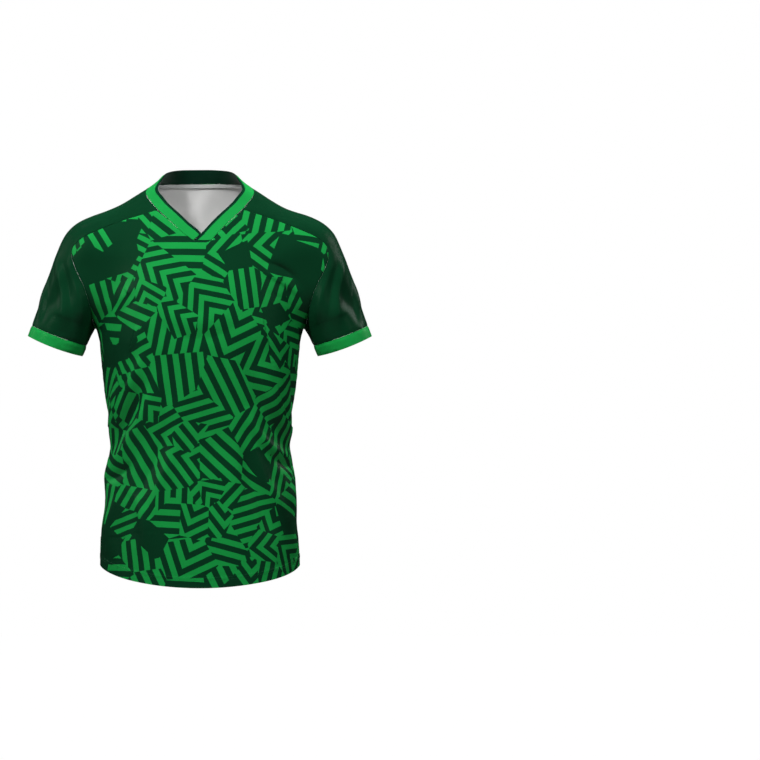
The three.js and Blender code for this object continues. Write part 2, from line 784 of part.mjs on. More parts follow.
// The collar is wider behind the neck than at the V
const COLLAR_WIDENS = { fromY: -40, toY: 50 };

function widthAt(width, p) {
  const share = (p.y - COLLAR_WIDENS.fromY) / (COLLAR_WIDENS.toY - COLLAR_WIDENS.fromY);
  return mix(width.front, width.back, ease(share));
}

// The collar's net, across from the neckline to its free edge, with a row for each of some
// shares of a width. The end on the wearer's left runs down to the V's flat foot, and the
// other end stops against its free edge.
function collarNet(rows) {
  const beside = ({ share, width }) =>
    NECK_ARMS.map((p, i) => besideLine(NECK_ARMS, i, share * widthAt(width, p)));
  const corner = beside({ share: 1, width: FACING_WIDTH })[0];
  const last = NECK_ARMS.length - 1;
  const edge = (row) => {
    const plain = beside(row);
    const across = (row.share * row.width.front) / FACING_WIDTH.front;
    const foot = NECK_ARMS[0].clone().lerp(OVER_CORNER, across);
    const start = [foot, ...plain.slice(0, OVERLAP_STEPS + 1)];
    const whole = start.slice(1).reduce((sum, p, k) => sum + p.distanceTo(start[k]), 0);
    const end = OVER_CORNER.clone().lerp(corner, across);
    end.addScaledVector(NECK_ARMS[last - 1].clone().sub(NECK_ARMS[last]).normalize(), SEAM_GAP / 2);
    return plain.map((p, i) => {
      if (i === last) return onSkin(end);
      if (i > OVERLAP_STEPS) return p;
      return onSkin(alongChain(start, (whole * i) / OVERLAP_STEPS));
    });
  };
  return rows.map(edge);
}

// The rows of the collar and of its facing. The facing's first row is a bare 0.4 mm from the
// neckline, and it shares the collar's middle row and free edge.
const COLLAR_ROWS = [0, 0.5, 1].map((share) => ({ share, width: COLLAR_WIDTH }));
const FACING_ROWS = [
  { share: 0.4, width: { front: 1, back: 1 } },
  ...COLLAR_ROWS.slice(1),
  { share: 1, width: FACING_WIDTH },
];

// The collar or its facing
function collarPiece(name, rows, outer, wall, material) {
  const net = collarNet(rows);
  const last = net[0].length - 1;
  const ends = [0, last].map((i) => rows.map((_, j) => [j, i]));
  const drawn = drawnBack(net, [run(0, last).map((i) => [0, i]), ...ends]);
  return clothWall(name, drawn, { outer, inner: outer - wall, material });
}

// The tape that covers the back of the neck seam, laid inside the back panel's last strip
function neckTape() {
  const net = bodyPanel(180, "back", BACK_NECK);
  const [seam, below] = [net[net.length - 1], net[net.length - 2]];
  const rows = [TAPE_START, TAPE_START + TAPE_WIDTH].map((down) =>
    seam.map((p, i) => p.clone().lerp(below[i], down / p.distanceTo(below[i]))),
  );
  const outer = -PANEL_WALL - TAPE_GAP;
  return clothWall("neck_tape", rows, { outer, inner: outer - TAPE_WALL, material: WHITE, flip: true });
}

const group = new THREE.Group();
group.add(
  frontPanel(),
  backPanel(),
  sleeve("sleeve_left", 1),
  sleeve("sleeve_right", -1),
  cuff("cuff_left", 1),
  cuff("cuff_right", -1),
  collarPiece("collar", COLLAR_ROWS, 0, COLLAR_WALL, BRIGHT),
  collarPiece("collar_facing", FACING_ROWS, FACING_OUTER, FACING_WALL, DARK),
  neckTape(),
);

export default group;
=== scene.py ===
"""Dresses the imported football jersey: printed panels, sleeves, cuffs and collar as smooth cloth,
with their creases, knit and sewing, on a plain studio stage."""

import functools
import json
import math

import bmesh
import bpy
import numpy as np
from mathutils import Matrix, Vector, noise
from mathutils.bvhtree import BVHTree
from mathutils.kdtree import KDTree

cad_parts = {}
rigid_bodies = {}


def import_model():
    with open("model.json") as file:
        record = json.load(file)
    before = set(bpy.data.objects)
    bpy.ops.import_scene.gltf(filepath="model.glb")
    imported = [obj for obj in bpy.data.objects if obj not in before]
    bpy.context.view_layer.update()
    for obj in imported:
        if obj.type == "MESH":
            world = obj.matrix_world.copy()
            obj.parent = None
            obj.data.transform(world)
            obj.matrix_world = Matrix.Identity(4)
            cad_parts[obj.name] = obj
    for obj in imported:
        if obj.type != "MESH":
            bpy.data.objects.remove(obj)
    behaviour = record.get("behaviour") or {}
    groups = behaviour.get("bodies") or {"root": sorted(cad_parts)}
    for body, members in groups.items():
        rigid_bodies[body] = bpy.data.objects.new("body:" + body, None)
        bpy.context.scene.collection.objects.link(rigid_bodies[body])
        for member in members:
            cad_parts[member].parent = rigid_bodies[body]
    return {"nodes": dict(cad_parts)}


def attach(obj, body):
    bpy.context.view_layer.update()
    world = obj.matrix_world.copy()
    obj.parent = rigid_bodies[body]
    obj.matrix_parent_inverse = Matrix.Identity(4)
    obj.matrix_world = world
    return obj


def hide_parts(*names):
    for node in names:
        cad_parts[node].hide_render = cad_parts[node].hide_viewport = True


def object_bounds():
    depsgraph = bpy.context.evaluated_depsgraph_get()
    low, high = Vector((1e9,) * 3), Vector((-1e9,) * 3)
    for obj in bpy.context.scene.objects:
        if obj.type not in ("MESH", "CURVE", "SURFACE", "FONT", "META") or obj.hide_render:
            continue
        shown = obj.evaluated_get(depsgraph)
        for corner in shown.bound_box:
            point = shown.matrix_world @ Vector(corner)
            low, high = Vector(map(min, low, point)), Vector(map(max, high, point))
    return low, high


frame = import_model()
CAD_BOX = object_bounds()

bl_info = {
    "name": "Football jersey",
    "version": (1, 0, 0),
    "blender": (4, 5, 0),
    "location": "View3D > Sidebar > Jersey",
    "description": "Dresses the football jersey's cloth and builds its stage",
    "category": "Object",
}

MM = 0.001
BODY = "root"
OUTER, INNER, RIM = 0, 1, 2

# The axes that the cloth hangs round: the body's and, for the side at +X, the shoulder's and
# the arm's, which ends at the middle of the cuff
AXES = np.array([
    [(0, 0, -0.76), (0, 0, -0.12)],
    [(0, 0, -0.10), (0.18, 0, -0.12)],
    [(0.18, 0, -0.12), (0.267, 0, -0.30)],
])
ARM_TOP, ARM_END = AXES[2]
ARM_RADIUS = 0.058


class JerseyColours(bpy.types.PropertyGroup):
    dark: bpy.props.FloatVectorProperty(
        name="Dark green", description="Sleeves, and the ground of the print",
        subtype="COLOR", size=3, min=0, max=1, default=(0.0028, 0.035, 0.0130))
    bright: bpy.props.FloatVectorProperty(
        name="Bright green", description="Cuffs, collar and the bars of the print",
        subtype="COLOR", size=3, min=0, max=1, default=(0.0090, 0.270, 0.050))
    facing: bpy.props.FloatVectorProperty(
        name="Facing green", description="The inside of the collar",
        subtype="COLOR", size=3, min=0, max=1, default=(0.0030, 0.028, 0.014))
    inside: bpy.props.FloatVectorProperty(
        name="Inside", description="The unprinted inside of the cloth",
        subtype="COLOR", size=3, min=0, max=1, default=(0.88, 0.88, 0.87))
    tape: bpy.props.FloatVectorProperty(
        name="Tape", description="The woven tape over the back neck seam",
        subtype="COLOR", size=3, min=0, max=1, default=(0.66, 0.68, 0.67))
    number: bpy.props.FloatVectorProperty(
        name="Number", description="The plain number on the back",
        subtype="COLOR", size=3, min=0, max=1, default=(0.86, 0.86, 0.88))
    pale_thread: bpy.props.FloatVectorProperty(
        name="Pale thread", description="The sewing inside the jersey",
        subtype="COLOR", size=3, min=0, max=1, default=(0.72, 0.73, 0.72))


class JerseySizes(bpy.types.PropertyGroup):
    patch: bpy.props.FloatProperty(
        name="Patch", description="Usual width of one shard of the print", unit="LENGTH", default=0.080)
    bar_pitch: bpy.props.FloatProperty(
        name="Bar pitch", description="Distance between the print's bars", unit="LENGTH", default=0.0225)
    knit_pitch: bpy.props.FloatProperty(
        name="Knit pitch", description="Distance between the knit's wales", unit="LENGTH", default=0.0011)
    number_height: bpy.props.FloatProperty(
        name="Number height", description="Height of the back number", unit="LENGTH", default=0.209)
    stitch: bpy.props.FloatProperty(
        name="Stitch", description="Length of one stitch with its gap", unit="LENGTH", default=0.0027)
    thread: bpy.props.FloatProperty(
        name="Thread", description="Thickness of the sewing thread", unit="LENGTH", default=0.00042)
    hem_depth: bpy.props.FloatProperty(
        name="Hem depth", description="From the hem's edge to its upper stitching",
        unit="LENGTH", default=0.0188)
    hem_rows_apart: bpy.props.FloatProperty(
        name="Hem rows apart", description="Distance between the hem's two rows of stitches",
        unit="LENGTH", default=0.0045)
    allowance: bpy.props.FloatProperty(
        name="Seam allowance", description="Width of the trimmed cloth inside a seam",
        unit="LENGTH", default=0.0062)


class StageSizes(bpy.types.PropertyGroup):
    camera_distance: bpy.props.FloatProperty(
        name="Camera distance", description="From the camera to the jersey's middle",
        unit="LENGTH", default=30.0)
    pixel: bpy.props.FloatProperty(
        name="Pixel", description="Size at the jersey of one of the picture's pixels",
        unit="LENGTH", default=0.00179)
    floor_drop: bpy.props.FloatProperty(
        name="Floor drop", description="How far the floor lies under the hem",
        unit="LENGTH", default=0.7)


def settings():
    scene = bpy.context.scene
    return scene.jersey_colours, scene.jersey_sizes, scene.jersey_stage


# The cut of each piece, laid flat. Each row: piece, width and length of the flat cloth in
# metres, its area in square metres, how it is held, and how the names of its trims start
SHEETS = [
    ("front_cloth", 0.500, 0.700, 0.299, "hung", ("neck_front_allowance", "hem_stitches")),
    ("back_cloth", 0.500, 0.700, 0.2995, "hung", ("side_allowance", "inner_stitches", "overlock_thread")),
    ("sleeve_cloth_left", 0.360, 0.290, 0.0605, "hung",
     ("armhole_left", "cuff_left_allowance", "neck_left")),
    ("sleeve_cloth_right", 0.360, 0.290, 0.0601, "hung",
     ("armhole_right", "cuff_right_allowance", "neck_right")),
    ("cuff_cloth_left", 0.345, 0.023, 0.0079, "stretched", ()),
    ("cuff_cloth_right", 0.345, 0.023, 0.0079, "stretched", ()),
    ("collar_cloth", 0.53, 0.0215, 0.0113, "stretched", ()),
    ("facing_cloth", 0.53, 0.0246, 0.0130, "stretched", ("neck_tape",)),
]

# Creases. Each row is a soft ridge, or a trough where its rise is below zero, along a curve
# through places on the cloth: the frame's own X and Z, in millimetres. It falls away over one
# distance on the upper side of the curve and over another on the lower side.
# Each row: rise, how far it falls away above and below, and the curve's places
FRONT_CREASES = [
    # the drapes from under the breast at -X down to the notch above the hip
    (7.4, 11, 9, ((-98, -276), (-108, -312), (-120, -345), (-131, -382), (-146, -420))),
    (-8.4, 12, 13, ((-100, -338), (-112, -372), (-125, -405), (-142, -440), (-158, -474))),
    (8.4, 14, 18, ((-80, -352), (-95, -392), (-111, -430), (-134, -472), (-156, -508))),
    (-6.4, 7, 8, ((-122, -492), (-142, -512), (-158, -522), (-170, -526))),
    (5.0, 12, 16, ((-140, -548), (-156, -580), (-166, -620), (-160, -668))),
    (3.6, 10, 12, ((-126, -530), (-108, -566), (-98, -612), (-102, -660))),
    (-5.4, 12, 12, ((-62, -420), (-76, -470), (-98, -520), (-116, -552))),
    (4.6, 15, 14, ((-40, -440), (-56, -494), (-74, -540), (-80, -590))),
    # the long trough from the breast at +X to the notch at the waist, and the folds beside it
    (-7.4, 12, 12, ((84, -316), (97, -352), (113, -390), (127, -420), (142, -444), (160, -474))),
    (5.2, 13, 12, ((110, -330), (124, -370), (139, -406), (153, -430), (166, -448))),
    (5.4, 9, 10, ((84, -404), (102, -440), (124, -464), (150, -480), (168, -484))),
    (-5.6, 8, 8, ((128, -478), (146, -492), (160, -500), (172, -502))),
    (7.0, 13, 11, ((96, -468), (114, -524), (136, -566), (154, -612))),
    (-5.8, 13, 12, ((80, -476), (94, -530), (114, -580), (128, -630))),
    (3.6, 11, 14, ((150, -520), (164, -556), (168, -600))),
    (4.4, 16, 15, ((40, -380), (56, -440), (66, -500), (62, -560))),
    # short creases that run in from the armholes
    (-6.2, 7, 5, ((112, -134), (138, -144), (160, -158), (178, -176))),
    (5.3, 7, 7, ((112, -150), (138, -162), (164, -180), (180, -198))),
    (-3.9, 7, 6, ((122, -190), (148, -204), (172, -224))),
    (4.2, 9, 7, ((-112, -178), (-142, -196), (-170, -226))),
    (-4.8, 8, 7, ((-108, -202), (-140, -226), (-168, -252))),
    (3.6, 12, 10, ((-104, -250), (-130, -290), (-156, -332))),
    (-3.4, 11, 9, ((-88, -270), (-112, -312), (-140, -362), (-158, -396))),
    (3.6, 12, 10, ((108, -246), (132, -284), (158, -322))),
    (-3.1, 10, 10, ((118, -270), (140, -306), (162, -350))),
    # broad, faint falls down the middle and over the chest
    (2.2, 24, 24, ((-30, -330), (-42, -440), (-34, -560))),
    (-2.1, 20, 20, ((14, -400), (20, -500), (10, -620))),
    (2.0, 16, 22, ((-90, -210), (-40, -236), (20, -238), (80, -214))),
    (-2.0, 18, 14, ((-84, -240), (-36, -268), (24, -268), (78, -240))),
]
BACK_CREASES = [
    # the upper swag, deepest at -X
    (-6.4, 8, 8, ((-164, -410), (-143, -430), (-98, -451), (-60, -462), (-16, -468))),
    (4.6, 12, 7, ((-158, -388), (-122, -420), (-86, -438), (-45, -450), (20, -456))),
    (4.4, 7, 8, ((-164, -434), (-122, -460), (-84, -471), (-40, -477))),
    # the middle swag, from one side right across to the other
    (-7.4, 9, 9, ((166, -458), (147, -474), (111, -492), (55, -504), (12, -506), (-41, -492),
                  (-93, -484), (-148, -462))),
    (4.6, 13, 8, ((156, -436), (116, -464), (60, -480), (6, -484), (-30, -478))),
    (-6.0, 8, 7, ((52, -498), (30, -508), (12, -520), (-8, -538))),
    (6.4, 10, 20, ((156, -500), (108, -520), (56, -536), (4, -552), (-46, -532), (-98, -508),
                   (-150, -492))),
    # the short deep fold at -X under it, and the ones at +X
    (-6.2, 7, 8, ((-130, -520), (-106, -535), (-72, -547), (-50, -562), (-32, -580))),
    (4.6, 8, 14, ((-150, -532), (-108, -556), (-72, -574), (-44, -596))),
    (3.8, 8, 8, ((142, -486), (113, -507), (89, -528), (68, -548))),
    (-3.6, 8, 9, ((158, -512), (120, -534), (90, -554), (58, -568))),
    (3.2, 9, 14, ((150, -540), (104, -572), (52, -590), (0, -590))),
    (-2.6, 10, 12, ((140, -580), (80, -612), (10, -620), (-60, -612), (-110, -590))),
    (2.4, 14, 16, ((130, -610), (70, -642), (0, -650), (-70, -640))),
    (-3.6, 7, 8, ((-120, -470), (-142, -476), (-164, -468))),
    # down the sides and in from the armholes
    (-3.6, 8, 6, ((110, -166), (138, -186), (164, -208))),
    (3.4, 9, 8, ((104, -186), (136, -206), (166, -234))),
    (-3.0, 8, 6, ((-110, -170), (-140, -190), (-166, -212))),
    (3.0, 9, 9, ((-104, -192), (-138, -214), (-168, -240))),
    (2.6, 12, 12, ((146, -280), (130, -340), (150, -404))),
    (-2.4, 10, 11, ((112, -300), (104, -356), (124, -420))),
    (2.6, 12, 12, ((-146, -276), (-128, -330), (-148, -384))),
    (-2.4, 10, 11, ((-110, -290), (-104, -340), (-122, -392))),
    (1.4, 16, 22, ((-90, -206), (-40, -228), (20, -230), (80, -208))),
]
# On a sleeve the places are both ways round the arm from its outer side, in millimetres and
# positive to the front, and up the arm from the cuff's edge.
SLEEVE_CREASES = [
    (4.4, 9, 7, ((22, 158), (48, 126), (70, 92), (88, 54))),
    (-4.6, 8, 7, ((40, 160), (62, 128), (84, 96), (102, 62))),
    (3.6, 8, 7, ((58, 162), (82, 132), (102, 104), (118, 80))),
    (-2.6, 10, 9, ((2, 140), (22, 104), (38, 62), (46, 36))),
    (2.8, 12, 9, ((-2, 112), (14, 78), (28, 44))),
    (4.0, 9, 7, ((-30, 156), (-54, 124), (-76, 90), (-94, 54))),
    (-4.2, 8, 7, ((-48, 160), (-70, 128), (-90, 96), (-106, 64))),
    (-2.4, 10, 9, ((-12, 134), (-32, 96), (-44, 52))),
    (2.6, 12, 9, ((-16, 104), (-32, 74), (-42, 42))),
]


# How the unevenness that runs over the whole jersey is made up: the size of the bumps, and how
# far the cloth stands out or in, in millimetres
SWAY = ((95, 1.5), (42, 0.7), (19, 0.2))
# How far the cloth dips into its seams, and how far from them that starts, in millimetres
SEAM_DIP = 0.9
SEAM_DIP_WIDTH = 3.4
# The puckers along a seam: how high, how far apart and how far they reach, in millimetres
PUCKER = 0.7
PUCKER_SIZE = 8
PUCKER_REACH = 9
# Creases are level on a seam, and free at this distance from it, in millimetres
SEAM_CALM = (3, 17)
# A ridge rolls over, and a trough is pinched: the powers of how fast they fall away
ROLL, PINCH = 2.0, 1.45
# How far the hem's double cloth stands out, and over what height it does so, in millimetres
HEM_RISE = 0.45
HEM_STEP = 1.6
# The rounding of every cut edge
EDGE_ROUND = 0.00045
# The cut pieces' triangles: points closer than this are one, and two of them make a quad up to
# this bend and this skew
SAME_POINT = 0.00002
QUAD_BEND, QUAD_SKEW = math.radians(55), math.radians(70)
# Faces that bend less than this at an edge are of one skin
SKIN_BEND = math.radians(58)
# Where a rim turns to less than this angle, it has a corner
RIM_CORNER = math.radians(142)
# A map lies true within this distance of its anchor, if it has this many corners there
MAP_REACH, MAP_LEAST = 0.11, 12
# Rounds of evening out, by which the cloth follows the cut piece without its facets
PANEL_ROUNDS, SLEEVE_ROUNDS = 4, 16
# Where the rims are: how far above the lowest point the hem's edge may reach, for its shape and
# for its stitches, and how close to the side seams' plane, Y = 0, a point on one lies
HEM_REACH, STITCHED_REACH = 0.052, 0.050
SIDE_NEAR, SIDE_ON = 0.004, 0.003
# The side seam ends at the armpit, and the neck seam's ends are this far from the middle: on the
# sleeves, and in front, where it also has a lowest and a foremost place
SIDE_TOP = -0.262
SLEEVE_NECK_X, FRONT_NECK_X = 0.0925, 0.0755
FRONT_NECK_Z, FRONT_NECK_Y = -0.0965, 0.1
# Heights up the arm, in millimetres: the cuff's free edge ends, and the sleeve's cuff seam and
# armhole are below and above these
CUFF_EDGE, CUFF_SEAM, ARMHOLE = 13, 32, 36


# Mesh helpers
def only(obj):
    """Makes one object the only selected and the active one."""
    bpy.ops.object.select_all(action="DESELECT")
    obj.select_set(True)
    bpy.context.view_layer.objects.active = obj


def shade_smooth(mesh):
    mesh.polygons.foreach_set("use_smooth", np.ones(len(mesh.polygons), bool))


def face_out(obj):
    """Turns the faces of a closed piece outwards and shades them smooth."""
    only(obj)
    bpy.ops.object.mode_set(mode="EDIT")
    bpy.ops.mesh.select_all(action="SELECT")
    bpy.ops.mesh.normals_make_consistent(inside=False)
    bpy.ops.object.mode_set(mode="OBJECT")
    shade_smooth(obj.data)


def points_of(obj):
    place = np.zeros(len(obj.data.vertices) * 3)
    obj.data.vertices.foreach_get("co", place)
    return place.reshape(-1, 3)


def skins_of(mesh):
    values = np.zeros(len(mesh.polygons), np.int32)
    mesh.attributes["skin"].data.foreach_get("value", values)
    return values


def points_on(mesh, number):
    """The indices of the points of one skin, or of the rims."""
    skins = skins_of(mesh)
    return np.array(sorted({v for p in mesh.polygons if skins[p.index] == number for v in p.vertices}))


def tree_of(places, indices):
    tree = KDTree(len(indices))
    for index in indices:
        tree.insert(places[index], index)
    tree.balance()
    return tree


def smoothstep(share):
    x = np.clip(share, 0, 1)
    return x * x * (3 - 2 * x)


def outward(places):
    """The way out of the jersey at each place: away from the nearest axis it hangs round."""
    flipped = places.copy()
    flipped[:, 0] = np.abs(flipped[:, 0])
    best = np.zeros_like(flipped)
    least = np.full(len(places), np.inf)
    for a, b in AXES:
        along = b - a
        share = np.clip((flipped - a) @ along / (along @ along), 0, 1)
        off = flipped - a - share[:, None] * along
        nearer = np.linalg.norm(off, axis=1) < least
        least[nearer] = np.linalg.norm(off, axis=1)[nearer]
        best[nearer] = off[nearer]
    best[:, 0] *= np.where(places[:, 0] < 0, -1, 1)
    return best / np.maximum(np.linalg.norm(best, axis=1), 1e-9)[:, None]


# Cloth from the cut pieces
def mark_skins(obj):
    """Sorts the faces of a cloth wall into its outer skin, its inner skin and its rims."""
    bm = bmesh.new()
    bm.from_mesh(obj.data)
    skin = bm.faces.layers.int.new("skin")
    left = set(bm.faces)
    groups = []
    while left:
        group = [left.pop()]
        for face in group:
            for edge in face.edges:
                for other in edge.link_faces:
                    if other in left and face.normal.angle(other.normal, 0) < SKIN_BEND:
                        left.remove(other)
                        group.append(other)
        groups.append(group)
    groups.sort(key=lambda group: -sum(face.calc_area() for face in group))
    for face in bm.faces:
        face[skin] = RIM
    turned = []
    for group in groups[:2]:
        middles = np.array([face.calc_center_median() for face in group])
        normals = np.array([face.normal for face in group])
        areas = np.array([face.calc_area() for face in group])
        turned.append((areas * (normals * outward(middles)).sum(axis=1)).sum())
    first = OUTER if turned[0] > turned[1] else INNER
    for group, number in zip(groups, (first, INNER - first)):
        for face in group:
            face[skin] = number
    bm.to_mesh(obj.data)
    bm.free()


def crease_rims(obj):
    """Keeps a wall's edges crisp, and its corners where two edges of the cut meet."""
    bm = bmesh.new()
    bm.from_mesh(obj.data)
    edge_crease = bm.edges.layers.float.new("crease_edge")
    point_crease = bm.verts.layers.float.new("crease_vert")
    skin = bm.faces.layers.int["skin"]
    for edge in bm.edges:
        if len({face[skin] for face in edge.link_faces}) == 2:
            edge[edge_crease] = 1
    for vert in bm.verts:
        ends = [e.other_vert(vert).co - vert.co for e in vert.link_edges if e[edge_crease] == 1]
        if len(ends) == 2 and ends[0].angle(ends[1]) < RIM_CORNER:
            vert[point_crease] = 1
    bm.to_mesh(obj.data)
    bm.free()


def select_skin(obj, number):
    """Opens a piece for editing with just one of its skins selected."""
    only(obj)
    bpy.ops.object.mode_set(mode="EDIT")
    bpy.ops.mesh.select_mode(type="FACE")
    bpy.ops.mesh.select_all(action="DESELECT")
    bpy.ops.object.mode_set(mode="OBJECT")
    obj.data.polygons.foreach_set("select", skins_of(obj.data) == number)
    bpy.ops.object.mode_set(mode="EDIT")


def flat_map(obj, way, anchor):
    """Unwraps each skin of the cloth to a map in metres, upright, that lies true at the anchor.
    way is -1 where the piece is seen from behind, so that the map reads from outside."""
    mesh = obj.data
    mesh.uv_layers.new(name="cloth")
    for number in (OUTER, INNER, RIM):
        select_skin(obj, number)
        bpy.ops.uv.unwrap(method="CONFORMAL", margin=0)
        bpy.ops.object.mode_set(mode="OBJECT")
    layer = mesh.uv_layers["cloth"]
    uv = np.zeros(len(mesh.loops) * 2)
    layer.data.foreach_get("uv", uv)
    uv = uv.reshape(-1, 2)
    corner = np.zeros(len(mesh.loops), np.int32)
    mesh.loops.foreach_get("vertex_index", corner)
    off = points_of(obj)[corner] - np.array(anchor)
    target = np.stack([way * off[:, 0], off[:, 2]], axis=1)
    near = np.linalg.norm(off, axis=1) < MAP_REACH
    corner_skin = np.repeat(skins_of(mesh), [p.loop_total for p in mesh.polygons])
    for number in (OUTER, INNER, RIM):
        mine = corner_skin == number
        held = near[mine] if (near & mine).sum() > MAP_LEAST else np.ones(mine.sum(), bool)
        uv[mine] = laid_on(uv[mine], target[mine], held)
    layer.data.foreach_set("uv", uv.ravel())


def laid_on(source, target, held):
    """Turns, scales and moves a map, turned over if need be, so that its held part lies best on
    the target."""
    one = np.array([1, 1j])
    middle, onto = source[held].mean(axis=0), target[held].mean(axis=0)
    wanted = (target[held] - onto) @ one
    best = None
    for turn_over in (False, True):
        plain = (source - middle) @ one
        if turn_over:
            plain = np.conj(plain)
        scale = (np.conj(plain[held]) @ wanted) / (np.conj(plain[held]) @ plain[held])
        miss = np.abs(plain[held] * scale - wanted).sum()
        if best is None or miss < best[0]:
            best = (miss, plain * scale)
    return np.stack([best[1].real, best[1].imag], axis=1) + onto


def cloth(name, cut_piece, levels, way=1, anchor=(0, 0, 0)):
    """A smooth copy of one cut piece: quads, crisp edges, a flat map and rounded folds."""
    obj = bpy.data.objects.new(name, frame["nodes"][cut_piece].data.copy())
    bpy.context.scene.collection.objects.link(obj)
    mesh = obj.data
    mesh.materials.clear()
    only(obj)
    bpy.ops.object.mode_set(mode="EDIT")
    bpy.ops.mesh.select_all(action="SELECT")
    bpy.ops.mesh.remove_doubles(threshold=SAME_POINT)
    bpy.ops.mesh.tris_convert_to_quads(face_threshold=QUAD_BEND, shape_threshold=QUAD_SKEW)
    bpy.ops.mesh.select_all(action="DESELECT")
    bpy.ops.object.mode_set(mode="OBJECT")
    for attribute in ("custom_normal", "sharp_edge", "sharp_face"):
        if attribute in mesh.attributes:
            mesh.attributes.remove(mesh.attributes[attribute])
    while mesh.uv_layers:
        mesh.uv_layers.remove(mesh.uv_layers[0])
    mark_skins(obj)
    crease_rims(obj)
    flat_map(obj, way, anchor)
    smooth = obj.modifiers.new("Smooth", "SUBSURF")
    smooth.levels = levels
    smooth.render_levels = levels
    smooth.uv_smooth = "PRESERVE_BOUNDARIES"
    bpy.ops.object.modifier_apply(modifier=smooth.name)
    shade_smooth(mesh)
    return obj


def even_out(obj, rounds):
    """Evens out both skins, away from the rims."""
    for number in (OUTER, INNER):
        select_skin(obj, number)
        bpy.ops.mesh.select_less()
        bpy.ops.mesh.vertices_smooth(factor=0.5, repeat=rounds)
        bpy.ops.object.mode_set(mode="OBJECT")


def refine(obj):
    """Halves the faces of the outer skin, so that they can follow close creases."""
    select_skin(obj, OUTER)
    bpy.ops.mesh.subdivide(number_cuts=1)
    bpy.ops.mesh.select_less()
    bpy.ops.mesh.vertices_smooth(factor=0.5)
    bpy.ops.object.mode_set(mode="OBJECT")


def soften(obj):
    """Rounds the edges of a wall."""
    only(obj)
    bm = bmesh.new()
    bm.from_mesh(obj.data)
    skin = bm.faces.layers.int["skin"]
    weight = bm.edges.layers.float.new("bevel_weight_edge")
    for edge in bm.edges:
        edge[weight] = float(len({face[skin] for face in edge.link_faces}) == 2)
    bm.to_mesh(obj.data)
    bm.free()
    rounded = obj.modifiers.new("Rounded edges", "BEVEL")
    rounded.limit_method = "WEIGHT"
    rounded.width = EDGE_ROUND
    rounded.segments = 2
    rounded.harden_normals = True
    bpy.ops.object.modifier_apply(modifier=rounded.name)


# Creases and unevenness
def push(obj, rise):
    """Moves the outer skin out of the jersey, by a rise in metres, and takes the rest of the
    wall along with it, so that the cloth keeps its thickness."""
    place = points_of(obj)
    outer = points_on(obj.data, OUTER)
    tree = tree_of(place, outer)
    move = outward(place) * rise[:, None]
    for index in np.setdiff1d(np.arange(len(place)), outer):
        near = tree.find_n(place[index], 3)
        weights = np.array([1 / (distance + 1e-5) for _, _, distance in near])
        move[index] = weights @ move[[i for _, i, _ in near]] / weights.sum()
    obj.data.vertices.foreach_set("co", (place + move).ravel())
    obj.data.update()


def uneven(places, size):
    return np.array([noise.noise(Vector(p) / (size * MM)) for p in places])


def sway(places):
    """Broad and fine unevenness, in millimetres, the same for every piece at the same place."""
    return sum(height * uneven(places, size) for size, height in SWAY)


def through(places, steps=9):
    """A smooth curve through flat places, as a row of points."""
    p = np.array([places[0], *places, places[-1]], float)
    found = []
    for k in range(1, len(p) - 2):
        for t in np.arange(steps) / steps:
            found.append(0.5 * (2 * p[k] + (p[k + 1] - p[k - 1]) * t
                                + (2 * p[k - 1] - 5 * p[k] + 4 * p[k + 1] - p[k + 2]) * t ** 2
                                + (3 * p[k] - p[k - 1] - 3 * p[k + 1] + p[k + 2]) * t ** 3))
    return np.array(found + [p[-1]])


def crease_height(u, v, rise, upper, lower, places):
    """The height of one crease over flat places, fading out at both ends."""
    curve = through(places)
    lengths = np.append(0, np.linalg.norm(np.diff(curve, axis=0), axis=1).cumsum())
    least = np.full(len(u), np.inf)
    side = np.zeros(len(u))
    share = np.zeros(len(u))
    for k, (a, b) in enumerate(zip(curve, curve[1:])):
        along = b - a
        t = np.clip(((u - a[0]) * along[0] + (v - a[1]) * along[1]) / (along @ along), 0, 1)
        off_u, off_v = u - a[0] - t * along[0], v - a[1] - t * along[1]
        off = np.hypot(off_u, off_v)
        nearer = off < least
        least[nearer] = off[nearer]
        side[nearer] = (off_v * abs(along[0]) - off_u * along[1] * np.sign(along[0]))[nearer]
        share[nearer] = ((lengths[k] + t * (lengths[k + 1] - lengths[k])) / lengths[-1])[nearer]
    fade = np.sin(np.pi * (0.08 + 0.84 * share)) ** 1.2
    width = np.where(side > 0, upper, lower)
    return rise * fade * np.exp(-((least / width) ** (ROLL if rise > 0 else PINCH)))


def crease(obj, table, flat, seam, hem=None, hem_depth=0.0):
    """Creases a piece by a table. flat gives the two table coordinates of its points. seam and
    hem say which places of its rims are seams, and which are the hem's edge."""
    place = points_of(obj)
    u, v = flat(place / MM)
    rise = sum(crease_height(u, v, *row) for row in table) if table else np.zeros(len(place))
    away = away_from_rim(obj, place, seam)
    calm = smoothstep((away - SEAM_CALM[0]) / (SEAM_CALM[1] - SEAM_CALM[0]))
    rise = rise * calm + sway(place) - SEAM_DIP * np.exp(-((away / SEAM_DIP_WIDTH) ** 2))
    near = np.exp(-((away / PUCKER_REACH) ** 2))
    if hem:
        up = away_from_rim(obj, place, hem) - hem_depth / MM
        rise += HEM_RISE * smoothstep(0.5 - up / HEM_STEP)
        near += np.exp(-((up / PUCKER_REACH) ** 2))
    rise += near * PUCKER * uneven(place, PUCKER_SIZE)
    push(obj, rise * MM)


def away_from_rim(obj, place, keep):
    """How far each point is from the rim's places that keep holds for, in millimetres."""
    rims = points_on(obj.data, RIM)
    tree = tree_of(place, rims[keep(place[rims])])
    return np.array([tree.find(point)[2] for point in place]) / MM


def on_panel(place):
    return place[:, 0], place[:, 2]


